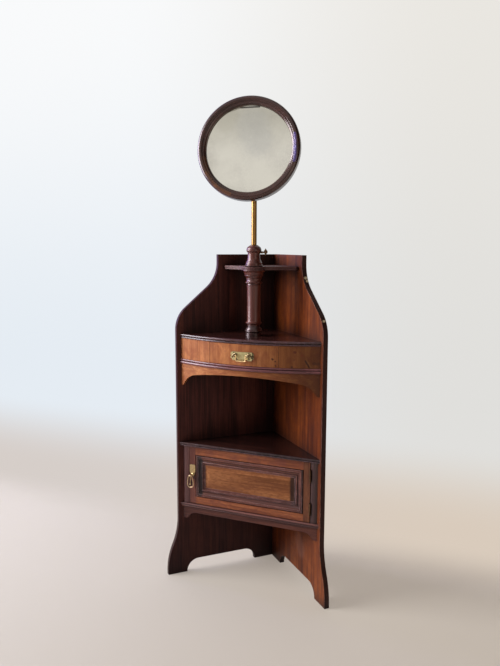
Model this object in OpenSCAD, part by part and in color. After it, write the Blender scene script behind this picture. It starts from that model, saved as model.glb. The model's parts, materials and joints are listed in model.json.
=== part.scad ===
// Corner shaving stand: two shaped side panels at right angles carry a bow-fronted shelf with a drawer,
// a small cupboard, and a turned column whose brass rod slides up with a round tilting mirror.
// Millimetres. The floor is z = 0, the front is -Y, and the box of the whole stand is centred on the origin.

/* [Side panels] */
// Height of the side panels
panel_h = 1025; // [1022:1:1060]
// Width of a side panel, from the inner corner to its front edge
panel_w = 330; // [326:1:345]
// Thickness of the side panels
panel_t = 15; // [12:0.5:20]
// Width of the side panels at their top
top_w = 193; // [188:1:200]
// Height at which the sweep of the front edge begins
sweep_z = 1000; // [990:1:1010]
// Radius of the hollow half of the sweep
hollow_r = 100; // [90:1:110]
// Radius of the round shoulder below it
shoulder_r = 88; // [80:1:96]
// Slope of the straight piece between them, from the vertical
sweep_angle = 49; // [47:0.5:52]
// How far the front feet kick forward
foot_kick = 36; // [20:1:45]
// Height at which the front feet start to kick forward
foot_z = 187; // [180:1:205]
// Straight height at the bottom of a front foot
foot_end = 10; // [4:1:16]
// Length of the heel that stands in the corner
heel_w = 65; // [55:1:75]
// Length of a front foot along the panel
foot_w = 63; // [55:1:75]
// Height of the cut-out between heel and foot
arch_h = 39.5; // [36:0.5:46]
// Corner radius of that cut-out
arch_r = 38; // [28:1:39]
// Depth of the housings that hold the shelves
housing_d = 5; // [3:0.5:8]
// Number of screws down the corner joint
corner_screws_n = 6; // [4:1:8]
// Length of those screws
corner_screw_len = 38; // [30:1:45]
// Distance of the last screws from the panels' ends
screws_in = 60; // [50:1:80]

/* [Bow front] */
// How far the bow shelf's ends stay behind the panels' front edge, along the panel
bow_set = 9.7; // [6:0.1:14]
// How far the bow front swells forward
bow_sag = 46.5; // [38:0.5:55]
// Height of the bow shelf's underside
bow_z = 770; // [766:1:778]
// Thickness of the bow shelf
bow_t = 13.4; // [12:0.2:15]
// How far the drawer front and the friezes sit behind the shelf's nose
frieze_set = 4.5; // [3:0.5:8]
// Thickness of the friezes
frieze_t = 16; // [12:0.5:17]
// Height of the drawer board's underside
board_z = 690; // [684:1:694]
// Thickness of the drawer board
board_t = 15.5; // [13:0.5:17]
// Thickness of the bow apron
apron_t = 14; // [10:0.5:18]
// Height of the bow apron's arch in the middle
apron_z = 674; // [670:1:678]
// Slope at which the arch runs into its end brackets
apron_slope = 9.5; // [7:0.5:11]
// Slope of the brackets at their tips
bracket_slope = 66; // [60:1:75]
// Height of the apron's lowest points
apron_tip_z = 623; // [617:1:627]
// Width of the apron's tips
apron_tip_w = 8; // [6:0.5:12]

/* [Drawer] */
// Half the width of the drawer opening
drawer_half = 109.3; // [100:0.5:114]
// Gap around the drawer front
drawer_gap = 0.8; // [0.5:0.1:1.5]
// Thickness of the drawer front
front_t = 20; // [17:0.5:24]
// Thickness of the drawer sides and back
side_t = 9; // [7:0.5:12]
// Height of the drawer sides
side_h = 52; // [44:1:58]
// Thickness of the drawer bottom
bottom_t = 5; // [4:0.5:7]
// Clearance under and beside the drawer box
run_gap = 0.4; // [0.3:0.1:0.8]
// Width and height of the drawer guides
guide_w = 10; // [8:0.5:14]
// Half the distance between the handle posts
post_x = 22; // [20:0.5:24]
// Height of the handle posts
handle_z = 738; // [733:1:742]
// How far the handle posts stand out from the drawer front
handle_out = 15; // [14:0.5:18]
// Half the width of the handle's back plate
plate_half = 36; // [33:0.5:40]
// Height of the handle's back plate
plate_h = 25; // [22:0.5:30]
// Half the distance between the bail's arms
bail_half = 15.5; // [14:0.5:16]
// Drop of the bail
bail_drop = 17; // [14:0.5:20]
// Radius of the bail's bar
bail_r = 1.9; // [1.6:0.1:2.2]

/* [Cupboard] */
// How far the lower shelf's front stays behind the panels' front edge, along the panel
lower_set = 4.7; // [3:0.1:9]
// Height of the lower shelf's underside, which is the cupboard's top
lower_z = 426.6; // [416:0.2:436]
// Thickness of the lower shelf
lower_t = 12; // [10:0.5:15]
// Height of the cupboard floor's underside
floor_z = 227.5; // [222:0.5:234]
// Thickness of the cupboard floor
floor_t = 12; // [10:0.5:15]
// How far the cupboard front sits behind the lower shelf's nose
cup_set = 8; // [6:0.5:11]
// Width of the fixed stiles at the front
post_w = 23; // [20:0.5:28]
// Thickness of the fixed stiles and of the door
door_t = 18; // [17:0.5:21]
// Swell of the fixed stiles' rounded fronts
post_swell = 3; // [2:0.5:4]
// Gap above and below the door
door_gap = 1; // [0.8:0.1:1.6]
// Gap at the door's sides
side_gap = 1.2; // [1.2:0.1:1.6]
// Width of the door's stiles
stile_w = 20; // [19.5:0.5:22]
// Height of the door's top rail
top_rail_h = 26; // [23:0.2:30]
// Height of the door's bottom rail
low_rail_h = 23; // [20:0.5:28]
// Width of the moulding planted round the door panel
mould_w = 31; // [29:0.5:34]
// How far that moulding's large roll stands proud of the door's frame
mould_proud = 2; // [0:0.1:3]
// Width of the margin round the raised field
margin_w = 11; // [8:0.5:13]
// Height of the cupboard apron's arch
cup_arch_z = 208; // [203:1:213]
// Height of the cupboard apron's lowest points
cup_tip_z = 187; // [184:1:189]
// Width of the cupboard apron's tips
cup_tip_w = 14; // [10:1:18]
// Radius of the hinge knuckles
knuckle_r = 2.8; // [2.6:0.1:3.2]
// Radius of the hinge pins
pin_r = 1.4; // [1.2:0.1:1.6]
// Height of a hinge
hinge_h = 38; // [34:1:44]
// Distance from the door's ends to the hinges
hinge_in = 22; // [16:1:28]
// Width of the drop handle's plate
drop_plate_w = 19.4; // [17:0.2:19.6]
// Height of the drop handle's plate
drop_plate_h = 38; // [34:0.5:42]
// Height of the drop loop's pivot
drop_z = 336; // [332:1:340]
// How far the drop loop hangs in front of the door
drop_out = 17; // [14:0.5:20]
// Length of the drop loop below its pivot
drop_len = 37.5; // [36:0.5:40]
// Half the width of the drop loop at its widest
drop_half = 10.3; // [9.5:0.1:11]
// Radius of the drop loop's bar
drop_r = 1.6; // [1.4:0.1:1.8]

/* [Column] */
// Distance of the column's axis from the inner corner
column_d = 177.5; // [174:0.5:181]
// Height of the small shelf's underside
bracket_z = 980; // [976:0.5:984]
// Thickness of the small shelf
bracket_t = 11; // [9:0.5:13]
// Distance along the panels that the small shelf reaches
bracket_w = 173; // [168:1:177]
// Radius of the small shelf's boss round the column
boss_r = 34.6; // [34:0.1:38]
// Radius of the column's shaft
shaft_r = 20.4; // [19:0.1:22]
// Radius of the joint that passes through the shelves
spigot_r = 14; // [13:0.5:15]
// Radius of the bore in which the rod's collar slides
bore_r = 10.8; // [10.4:0.1:11]
// Height of the column head above the small shelf
head_h = 62; // [59:0.5:66]
// Height of the thumb screw above the small shelf
thumb_h = 42; // [40:0.5:43]

/* [Rod and mirror] */
// Radius of the brass rod
rod_r = 8; // [7.5:0.1:8.3]
// Radial clearance of turning and sliding fits
fit = 0.05; // [0.03:0.01:0.1]
// Height of the mirror's pivot
pivot_z = 1317; // [1300:1:1350]
// Height of the rod's lower end
rod_foot_z = 888; // [880:1:900]
// Outer radius of the mirror frame
mirror_r = 148; // [142:0.5:156]
// Width of the frame's face
face_w = 24; // [22:0.5:27]
// Depth of the mirror frame
mirror_d = 34; // [30:0.5:38]
// Depth of the rebate for glass and backboard
rebate_d = 17; // [15:0.5:19]
// Thickness of the glass
glass_t = 3.5; // [3:0.1:5]
// Thickness of the backboard
back_t = 8; // [6:0.5:8.5]
// Distance from the rod's axis to the back of the mirror frame
stand_off = 36; // [32:0.5:40]
// How far the mirror's centre sits to the left of the rod
mirror_shift = 6; // [0:0.5:8]
// How far the mirror leans back
lean = 8.5; // [0:0.5:12]
// How far the mirror is turned about the rod
mirror_turn = 11; // [0:1:30]
// Radius of the pivot bolt
bolt_r = 3; // [2.5:0.1:3.5]

/* [Hidden] */
$fn = 96;
BOW_FN = 360;
root2 = sqrt(2);
// bow front
bow_half = (panel_w - bow_set) / root2;
bow_d = bow_half + bow_sag;
bow_r = (bow_half * bow_half + bow_sag * bow_sag) / (2 * bow_sag);
bow_c = bow_r - bow_d;
frieze_r = bow_r - frieze_set;
frieze_d = bow_d - frieze_set;
bow_top = bow_z + bow_t;
board_top = board_z + board_t;
apron_half = meets_panel(frieze_r) - apron_tip_w;
// the housings stop short of the panels' and the small shelf's front edges
tongue_back = 30;
bracket_back = 20;
// the whole stand's box, front to back
front_reach = frieze_d + handle_out;
corner_y = (front_reach - panel_t * root2) / 2;
// drawer
front_half = drawer_half - drawer_gap;
box_half = drawer_half - drawer_gap - 1;
box_z = board_top + run_gap;
back_d = box_half + 4;
handle_d = frieze_d + handle_out - 4;
post_r = 4;
shank_r = 2.2;
bail_pin_r = 1.3;
// cupboard
lower_d = (panel_w - lower_set) / root2;
lower_top = lower_z + lower_t;
floor_top = floor_z + floor_t;
floor_d = lower_d - 2;
cup_d = lower_d - cup_set;
open_half = cup_d - post_w;
door_half = open_half - side_gap;
door_z0 = floor_top + door_gap;
door_z1 = lower_z - door_gap;
sight_x = door_half - stile_w;
sight_z0 = door_z0 + low_rail_h;
sight_z1 = door_z1 - top_rail_h;
groove_d = 6;
tongue_d0 = 11;
tongue_d1 = 16;
// moulding and raised field: depths behind the door's face
quirk_d = 5;
quirk_w = 1.2;
roll_r = 5.5;
bead_r = 2.4;
margin_d = 7.6;
field_d = 4;
field_slope_w = 6;
cup_apron_half = cup_d - cup_tip_w;
// hinges, on the right
leaf_t = 1.2;
hinge_x = open_half - side_gap / 2;
hinge_d = cup_d + 2;
leaf_in = 14;
hinge_z = [door_z0 + hinge_in, door_z1 - hinge_in - hinge_h];
// drop handle, on the door's left stile
drop_x = drop_plate_w / 2 + 0.4 - door_half;
drop_d = cup_d + drop_out;
drop_pin_r = 1.2;
drop_ball_r = 3;
pendant_len = 27.5;
catch_z = drop_z + 30;
barrel_len = 12;
// column and rod
head_z = bracket_z + bracket_t;
head_top = head_z + head_h;
thumb_z = head_z + thumb_h;
bore_z = bow_z + 16;
collar_r = bore_r - 0.3;
collar_h = 8;
bush_r = 12;
bush_h = 14;
// mirror
sight_r = mirror_r - face_w;
rebate_r = sight_r + 6.5;
eye_r = 9;
eye_half = 6.2;
ear_t = 4;
ear_in = eye_half + 0.3;
plate_t = 2.5;
back_h0 = rebate_d - glass_t - back_t;
// the reduced foot of the rod, on which its collar is held
stem_r = rod_r - 2;

// ---- geometry shared by several pieces ----

function arc(cx, cy, r, a0, a1, n = 12) =
  [for (i = [0:n]) let (a = a0 + (a1 - a0) * i / n) [cx + r * cos(a), cy + r * sin(a)]];

// the same without its first point, to run on from another arc
function arc_on(cx, cy, r, a0, a1, n = 12) = arc(cx, cy, r, a0 + (a1 - a0) / n, a1, n - 1);

// a moulded edge: a small bead below, a quirk and a larger roll above
function moulded_edge(d, z, t, back) = concat(
  [[back, z]],
  arc(d - 0.3 * t, z + 0.19 * t, 0.19 * t, -90, 70, 6),
  [[d - 0.32 * t, z + 0.4 * t]],
  arc(d - 0.29 * t, z + 0.71 * t, 0.29 * t, -75, 90, 9),
  [[back, z + t]]);

// the same upside down: the small bead above
function moulded_edge_down(d, z, t, back) = [for (p = moulded_edge(d, 0, t, back)) [p[0], z + t - p[1]]];

// where a bow of this radius meets the side panels
function meets_panel(r) = (sqrt(2 * r * r - bow_c * bow_c) - bow_c) / 2;

// the open space below an arched apron: a shallow arch that runs smoothly into a bracket at each end
function arch_void(half, top, tip, slope) =
  let (k = (sin(bracket_slope) - sin(slope)) / (cos(slope) - cos(bracket_slope)),
    drop = (top - tip - half * tan(slope / 2)) / (1 - k * tan(slope / 2)),
    r = drop / (cos(slope) - cos(bracket_slope)),
    c = half - drop * k,
    cx = c - r * sin(slope),
    cz = tip + drop - r * cos(slope),
    big = slope > 0 ? c / sin(slope) : 0)
  concat([[-half, tip - 1]], arc(-cx, cz, r, 90 + bracket_slope, 90 + slope, 10),
    slope > 0 ? arc(0, top - big, big, 90 + slope * 0.92, 90 - slope * 0.92, 22) : [],
    arc(cx, cz, r, 90 - slope, 90 - bracket_slope, 10), [[half, tip - 1]]);

// moves a piece drawn round the inner corner into the stand's own box
module at_corner() translate([0, corner_y, 0]) children();

// x runs along the left panel from the corner, y runs up, z runs outwards
module on_left() rotate([90, 0, 225]) children();

module on_right() mirror([1, 0, 0]) on_left() children();

// the three-sided space between the panels
module wedge(z0, z1) translate([0, 0, z0]) linear_extrude(z1 - z0)
  polygon([[0, 0], [-panel_w, -panel_w], [panel_w, -panel_w]]);

// a section swept round the bow front
module bowed() translate([0, bow_c, 0]) rotate_extrude($fn = BOW_FN) children();

module bow_ring(r0, r1, z0, z1) translate([0, bow_c, z0]) difference() {
  cylinder(r = r1, h = z1 - z0, $fn = BOW_FN);
  translate([0, 0, -1]) cylinder(r = r0, h = z1 - z0 + 2, $fn = BOW_FN);
}

module bow_disc(r, z0, z1) translate([0, bow_c, z0]) cylinder(r = r, h = z1 - z0, $fn = BOW_FN);

// a section whose x is the distance in front of the corner, run across the stand
module across(half) translate([half, 0, 0]) rotate([90, 0, -90]) linear_extrude(2 * half) children();

// an outline in x and z, between two depths behind a front face
module slab(face_d, d0, d1) translate([0, d1 - face_d, 0]) rotate([90, 0, 0]) linear_extrude(d1 - d0) children();

module span(x0, x1, z0, z1) translate([x0, z0]) square([x1 - x0, z1 - z0]);

module block(x0, x1, d0, d1, z0, z1) translate([x0, -d1, z0]) cube([x1 - x0, d1 - d0, z1 - z0]);

// a countersunk screw along z, its head's face at the origin
module countersunk(length, r, head_r) {
  translate([0, 0, -head_r + r]) cylinder(r1 = r, r2 = head_r, h = head_r - r, $fn = 24);
  translate([0, 0, -length]) cylinder(r = r, h = length - (head_r - r) / 2, $fn = 24);
}

// ---- side panels ----

module panel_outline(back) {
  kick_a = 2 * atan(foot_kick / (foot_z - foot_end));
  kick_r = (foot_z - foot_end) / (2 * sin(kick_a));
  tip = panel_w + foot_kick;
  run = (panel_w - shoulder_r * (1 - cos(sweep_angle))) - (top_w + hollow_r * (1 - cos(sweep_angle)));
  shoulder_z = sweep_z - (hollow_r + shoulder_r) * sin(sweep_angle) - run / tan(sweep_angle);
  polygon(concat(
    [[-back, 0], [heel_w, 0]],
    arc(heel_w + arch_r, arch_h - arch_r, arch_r, 180, 90, 10),
    arc(tip - foot_w - arch_r, arch_h - arch_r, arch_r, 90, 0, 10),
    [[tip - foot_w, 0], [tip, 0]],
    arc(tip - kick_r, foot_end, kick_r, 0, kick_a, 8),
    arc_on(panel_w + kick_r, foot_z, kick_r, 180 + kick_a, 180, 8),
    arc(panel_w - shoulder_r, shoulder_z, shoulder_r, 0, sweep_angle, 12),
    arc(top_w + hollow_r, sweep_z, hollow_r, 180 + sweep_angle, 180, 12),
    [[top_w, panel_h], [-back, panel_h]]));
}

// the tongues that the shelves push into the panels' housings
module tongues(z, t, reach = panel_w - tongue_back) for (side = [0, 1]) mirror([side, 0, 0])
  on_left() translate([0, z, -1]) cube([reach, t, housing_d + 1]);

module all_tongues() {
  tongues(bow_z, bow_t);
  tongues(board_z, board_t);
  tongues(lower_z, lower_t);
  tongues(floor_z, floor_t);
  tongues(bracket_z, bracket_t, bracket_w - bracket_back);
}

module corner_screw_set() for (i = [0:corner_screws_n - 1])
  on_left() translate([-panel_t / 2, screws_in + i * (panel_h - 2 * screws_in) / (corner_screws_n - 1), panel_t])
    countersunk(corner_screw_len, 2, 4);

module left_panel() color([0.24, 0.12, 0.08]) at_corner() difference() {
  on_left() linear_extrude(panel_t) panel_outline(panel_t);
  all_tongues();
  corner_screw_set();
}

module right_panel() color([0.42, 0.20, 0.11]) at_corner() difference() {
  on_right() linear_extrude(panel_t) panel_outline(0);
  all_tongues();
  corner_screw_set();
}

module corner_screws() color([0.72, 0.56, 0.30]) at_corner() corner_screw_set();

// ---- bow front ----

module bow_shelf() color([0.30, 0.15, 0.10]) at_corner() difference() {
  union() {
    intersection() {
      bowed() polygon(moulded_edge(bow_r, bow_z, bow_t, bow_c - 1));
      wedge(bow_z, bow_top);
    }
    tongues(bow_z, bow_t);
  }
  translate([0, -column_d, bow_z - 1]) cylinder(r = spigot_r, h = bow_t + 2);
}

module frieze(x0, x1) intersection() {
  bow_ring(frieze_r - frieze_t, frieze_r, board_top, bow_z);
  wedge(board_top, bow_z);
  block(x0, x1, 0, bow_d, board_top, bow_z);
}

module frieze_left() color([0.70, 0.40, 0.24]) at_corner() frieze(-panel_w, -drawer_half);

module frieze_right() color([0.50, 0.28, 0.15]) at_corner() frieze(drawer_half, panel_w);

module drawer_board() color([0.45, 0.26, 0.20]) at_corner() union() {
  intersection() {
    bowed() polygon(moulded_edge_down(bow_r, board_z, board_t, bow_c - 1));
    wedge(board_z, board_top);
  }
  tongues(board_z, board_t);
}

module bow_apron() color([0.60, 0.33, 0.19]) at_corner() difference() {
  intersection() {
    bow_ring(frieze_r - apron_t, frieze_r, apron_tip_z, board_z);
    wedge(apron_tip_z, board_z);
  }
  slab(bow_d, -1, bow_d) polygon(arch_void(apron_half, apron_z, apron_tip_z, apron_slope));
}

module drawer_guide() intersection() {
  bow_disc(frieze_r - max(frieze_t, front_t + 0.5), board_top, board_top + guide_w);
  wedge(board_top, board_top + guide_w);
  block(box_half + run_gap, box_half + run_gap + guide_w, 0, bow_d, board_top, board_top + guide_w);
}

module drawer_guide_left() color([0.55, 0.36, 0.22]) at_corner() mirror([1, 0, 0]) drawer_guide();

module drawer_guide_right() color([0.55, 0.36, 0.22]) at_corner() drawer_guide();

module drawer_stop() color([0.55, 0.36, 0.22]) at_corner()
  block(-20, 20, back_d - 16, back_d - 0.3, board_top, board_top + 14);

// ---- drawer ----

module drawer_bottom_blank() intersection() {
  bow_disc(frieze_r - front_t + 5, box_z + 4, box_z + 4 + bottom_t);
  block(-(box_half - side_t + 4), box_half - side_t + 4, back_d, bow_d, box_z + 4, box_z + 4 + bottom_t);
}

module post_places() for (side = [-1, 1])
  translate([side * post_x, -frieze_d, handle_z]) rotate([90, 0, 0]) children();

module drawer_front() color([0.66, 0.38, 0.22]) at_corner() difference() {
  intersection() {
    bow_ring(frieze_r - front_t, frieze_r, board_top + drawer_gap, bow_z - drawer_gap);
    block(-front_half, front_half, 0, bow_d, board_top + drawer_gap, bow_z - drawer_gap);
  }
  drawer_bottom_blank();
  post_places() translate([0, 0, -front_t - 5]) cylinder(r = shank_r, h = front_t + 10);
}

module drawer_side() intersection() {
  bow_disc(frieze_r - front_t, box_z, box_z + side_h);
  block(box_half - side_t, box_half, back_d, bow_d, box_z, box_z + side_h);
}

module drawer_side_left() color([0.62, 0.45, 0.28]) at_corner() difference() {
  mirror([1, 0, 0]) drawer_side();
  drawer_bottom_blank();
}

module drawer_side_right() color([0.62, 0.45, 0.28]) at_corner() difference() {
  drawer_side();
  drawer_bottom_blank();
}

module drawer_back() color([0.62, 0.45, 0.28]) at_corner()
  block(side_t - box_half, box_half - side_t, back_d, back_d + side_t, box_z + 4 + bottom_t, box_z + side_h);

module drawer_bottom() color([0.66, 0.50, 0.32]) at_corner() drawer_bottom_blank();

// a pierced back plate that follows the bow front
module drawer_plate() color([0.75, 0.62, 0.38]) at_corner() difference() {
  intersection() {
    bow_ring(frieze_r, frieze_r + 1.5, handle_z - plate_h, handle_z + plate_h);
    slab(frieze_d, -4, 4) translate([0, handle_z - 4]) difference() {
      span(-plate_half, plate_half, -plate_h / 2, plate_h / 2);
      for (side = [-1, 1]) {
        translate([side * plate_half, plate_h / 2]) circle(r = 3.5, $fn = 32);
        translate([side * plate_half, -plate_h / 2]) circle(r = 6, $fn = 32);
        translate([side * plate_half, 1]) circle(r = 2.2, $fn = 32);
        translate([side * (post_x + 8), -3]) circle(r = 2.6, $fn = 32);
        translate([side * (post_x - 7.5), -plate_h / 2]) circle(r = 3, $fn = 32);
      }
    }
  }
  post_places() translate([0, 0, -3]) cylinder(r = shank_r, h = 8);
}

module drawer_posts() color([0.70, 0.56, 0.33]) at_corner() difference() {
  post_places() rotate_extrude() polygon(concat(
    [[0, -front_t - 6], [shank_r, -front_t - 6], [shank_r, 1.3], [5, 1.3], [5, 2.6], [3, 3.6], [3, 6]],
    arc(0, handle_out - post_r, post_r, -45, 90, 10)));
  translate([0, -handle_d, handle_z]) rotate([0, 90, 0])
    cylinder(r = bail_pin_r + fit, h = 2 * post_x + 6, center = true);
}

module handle_nuts() color([0.66, 0.52, 0.30]) at_corner() post_places() translate([0, 0, -front_t - 3.6])
  difference() {
    cylinder(r = 5.5, h = 3, $fn = 6);
    translate([0, 0, -1]) cylinder(r = shank_r, h = 5);
  }

// a bar from one place to another in the plane of a bail, with round ends
module bar(x0, z0, x1, z1, r) translate([x0, 0, z0]) {
  rotate([0, atan2(x1 - x0, z1 - z0), 0]) cylinder(r = r, h = norm([x1 - x0, z1 - z0]), $fn = 32);
  sphere(r = r, $fn = 32);
}

// part of a ring in the same plane, from one angle to another
module bend(x, z, big, a0, a1, r) translate([x, 0, z]) rotate([90, 0, 0]) rotate([0, 0, a0])
  rotate_extrude(angle = a1 - a0, $fn = 72) translate([big, 0]) circle(r = r, $fn = 32);

module drawer_bail() color([0.80, 0.66, 0.42]) at_corner() translate([0, -handle_d, handle_z]) {
  for (side = [-1, 1]) {
    translate([side * (bail_half - 1), 0, 0]) rotate([0, side * 90, 0])
      cylinder(r = bail_pin_r, h = post_x + 1.5 - bail_half + 1);
    bar(side * bail_half, 0, side * bail_half, 4 - bail_drop, bail_r);
  }
  bend(bail_half - 4, 4 - bail_drop, 4, -90, 0, bail_r);
  bend(4 - bail_half, 4 - bail_drop, 4, 180, 270, bail_r);
  translate([4 - bail_half, 0, -bail_drop]) rotate([0, 90, 0])
    cylinder(r = bail_r, h = 2 * (bail_half - 4), $fn = 32);
}

// ---- cupboard ----

module lower_shelf() color([0.28, 0.14, 0.10]) at_corner() union() {
  intersection() {
    across(panel_w) polygon(moulded_edge(lower_d, lower_z, lower_t, 0));
    wedge(lower_z, lower_top);
  }
  tongues(lower_z, lower_t);
}

module cupboard_floor() color([0.34, 0.18, 0.14]) at_corner() union() {
  intersection() {
    across(panel_w) polygon(moulded_edge(floor_d, floor_z, floor_t, 0));
    wedge(floor_z, floor_top);
  }
  tongues(floor_z, floor_t);
}

module cupboard_apron() color([0.34, 0.18, 0.13]) at_corner() difference() {
  intersection() {
    block(-panel_w, panel_w, cup_d - 14, cup_d, cup_tip_z, floor_z);
    wedge(cup_tip_z, floor_z);
  }
  slab(cup_d, -1, 15) polygon(arch_void(cup_apron_half, cup_arch_z, cup_tip_z, 0));
}

// a fixed stile with a rounded front, fitted against the side panel
module cupboard_post() intersection() {
  swell_r = (post_w * post_w / 4 + post_swell * post_swell) / (2 * post_swell);
  swell_a = asin(post_w / (2 * swell_r));
  translate([0, 0, floor_top]) linear_extrude(lower_z - floor_top) polygon(concat(
    [[open_half, door_t - cup_d]],
    arc(open_half + post_w / 2, swell_r - cup_d - 1, swell_r, 270 - swell_a, 270 + swell_a),
    [[open_half + post_w, door_t - cup_d]]));
  wedge(floor_top, lower_z);
}

module cupboard_post_left() color([0.26, 0.15, 0.14]) at_corner() difference() {
  mirror([1, 0, 0]) cupboard_post();
  catch_plate_blank();
}

module cupboard_post_right() color([0.26, 0.15, 0.14]) at_corner() difference() {
  cupboard_post();
  post_leaf_blanks();
  post_screw_set();
}

module door_stop() color([0.40, 0.24, 0.16]) at_corner() intersection() {
  block(-open_half - 10, 8 - open_half, cup_d - door_t - 10, cup_d - door_t - 0.2, catch_z - 40, catch_z + 40);
  wedge(floor_top, lower_z);
}

module catch_plate_blank() block(-open_half - 1, -open_half, cup_d - 15, cup_d - 5, catch_z - 14, catch_z + 14);

module catch_plate() color([0.72, 0.58, 0.34]) at_corner() difference() {
  catch_plate_blank();
  translate([-open_half - 2, 10 - cup_d, catch_z]) rotate([0, 90, 0]) cylinder(r = 2.4, h = 4);
}

// ---- hinges ----

module at_hinges() for (z = hinge_z) translate([hinge_x, -hinge_d, z]) children();

module leaf_holes(x) for (z = hinge_z, i = [0:2])
  translate([x, 9 - cup_d, z + hinge_h * (0.17 + 0.33 * i)]) children();

module post_leaf_blanks() for (z = hinge_z)
  block(hinge_x + 0.15, hinge_x + 0.15 + leaf_t, cup_d - leaf_in, hinge_d, z, z + hinge_h);

module door_leaf_blanks() for (z = hinge_z)
  block(hinge_x - 0.15 - leaf_t, hinge_x - 0.15, cup_d - leaf_in, hinge_d, z, z + hinge_h);

module post_screw_set() leaf_holes(hinge_x + 0.15) rotate([0, -90, 0]) countersunk(12, 1.3, 2.4);

module door_screw_set() leaf_holes(hinge_x - 0.15) rotate([0, 90, 0]) countersunk(14, 1.3, 2.4);

// a knuckle length of the hinge, between two shares of its height
module knuckle(z0, z1, r) at_hinges() translate([0, 0, z0 * hinge_h + 0.15])
  cylinder(r = r, h = (z1 - z0) * hinge_h - 0.3, $fn = 48);

module post_hinge_leaves() color([0.45, 0.34, 0.20]) at_corner() difference() {
  union() {
    difference() {
      post_leaf_blanks();
      knuckle(0.29, 0.71, knuckle_r + 0.3);
    }
    knuckle(0, 0.3, knuckle_r);
    knuckle(0.7, 1, knuckle_r);
  }
  at_hinges() translate([0, 0, -1]) cylinder(r = pin_r, h = hinge_h + 2, $fn = 48);
  post_screw_set();
}

module hinge_pins() color([0.45, 0.34, 0.20]) at_corner() at_hinges() cylinder(r = pin_r, h = hinge_h, $fn = 48);

module door_hinge_leaves() color([0.45, 0.34, 0.20]) at_corner() difference() {
  union() {
    difference() {
      door_leaf_blanks();
      knuckle(-0.02, 0.31, knuckle_r + 0.3);
      knuckle(0.69, 1.02, knuckle_r + 0.3);
    }
    knuckle(0.3, 0.7, knuckle_r);
  }
  at_hinges() translate([0, 0, -1]) cylinder(r = pin_r + fit, h = hinge_h + 2, $fn = 48);
  door_screw_set();
}

module post_hinge_screws() color([0.60, 0.48, 0.28]) at_corner() post_screw_set();

module door_hinge_screws() color([0.60, 0.48, 0.28]) at_corner() door_screw_set();

// ---- cupboard door ----

module rail_tenons(z0, z1) slab(cup_d, 6, 11.5) union() {
  span(-door_half + 6, -sight_x, z0 + 5, z1 - 5);
  span(sight_x, door_half - 6, z0 + 5, z1 - 5);
}

module both_tenons() {
  rail_tenons(door_z0, sight_z0 - groove_d);
  rail_tenons(sight_z1 + groove_d, door_z1);
}

// the panel's tongued edge, which the stiles and rails are grooved for
module panel_tongue() slab(cup_d, tongue_d0, tongue_d1)
  span(-sight_x - groove_d, sight_x + groove_d, sight_z0 - groove_d, sight_z1 + groove_d);

module door_stile_blank() slab(cup_d, 0, door_t) span(sight_x, door_half, door_z0, door_z1);

module door_stile_left() color([0.45, 0.25, 0.18]) at_corner() difference() {
  mirror([1, 0, 0]) door_stile_blank();
  panel_tongue();
  both_tenons();
  catch_barrel(4);
  drop_shank();
}

module door_stile_right() color([0.45, 0.27, 0.16]) at_corner() difference() {
  door_stile_blank();
  panel_tongue();
  both_tenons();
  door_leaf_blanks();
  door_screw_set();
  knuckle(-0.03, 1.03, knuckle_r + 0.35);
}

module door_rail(z0, z1) difference() {
  slab(cup_d, 0, door_t) span(-sight_x, sight_x, z0, z1);
  panel_tongue();
}

module door_rail_top() color([0.50, 0.28, 0.17]) at_corner() union() {
  door_rail(sight_z1, door_z1);
  rail_tenons(sight_z1 + groove_d, door_z1);
}

module door_rail_bottom() color([0.54, 0.29, 0.16]) at_corner() union() {
  door_rail(door_z0, sight_z0);
  rail_tenons(door_z0, sight_z0 - groove_d);
}

// depth profile of the raised panel: a flat margin and a slope up to the field, run from edge to edge
function field_half(half, edge) = [[-edge, tongue_d0], [mould_w - half, tongue_d0], [mould_w - half, margin_d],
  [mould_w + margin_w - field_slope_w - half, margin_d], [mould_w + margin_w - half, field_d]];

function field_profile(half, edge) = let (p = field_half(half, edge))
  concat([[-edge, tongue_d1]], p, [for (i = [len(p) - 1:-1:0]) [-p[i][0], p[i][1]]], [[edge, tongue_d1]]);

module door_panel() color([0.48, 0.28, 0.15]) at_corner() {
  mid = (sight_z0 + sight_z1) / 2;
  half_z = (sight_z1 - sight_z0) / 2;
  intersection() {
    translate([0, -cup_d, 0]) linear_extrude(lower_z) polygon(field_profile(sight_x, sight_x + groove_d));
    translate([-panel_w, -cup_d, mid]) rotate([90, 0, 90]) linear_extrude(2 * panel_w)
      mirror([1, -1]) polygon(field_profile(half_z, half_z + groove_d));
    slab(cup_d, 0, door_t) span(-panel_w, panel_w, sight_z0 - groove_d, sight_z1 + groove_d);
  }
}

// section of the planted moulding, with a large roll outside and a small bead inside:
// x from the sight edge inwards, y the depth behind the door's face
function mould_section() = let (roll_x = quirk_w + roll_r, bead_x = mould_w - 8.6) concat(
  [[0, tongue_d0], [0, quirk_d], [quirk_w, quirk_d]],
  arc(roll_x, roll_r - mould_proud, roll_r, 165, 335, 14),
  [[roll_x + 6.4, 3.2], [roll_x + 9, 4.7], [bead_x - bead_r, 5.4]],
  arc(bead_x, 5.2, bead_r, 180, 350, 8),
  [[bead_x + 3.2, 6], [bead_x + 5.6, 6.9], [mould_w, 7.3], [mould_w, tongue_d0]]);

// one mitred length of it along the sight edge, drawn for the bottom and turned for the other sides
module mould_length(half, base) intersection() {
  translate([0, -cup_d, 0]) rotate([90, 0, 90]) translate([0, 0, -half]) linear_extrude(2 * half)
    mirror([1, -1]) translate([base, 0]) polygon(mould_section());
  slab(cup_d, -1, door_t) polygon([[-half, base], [half, base], [half - mould_w, base + mould_w],
    [mould_w - half, base + mould_w]]);
}

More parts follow.
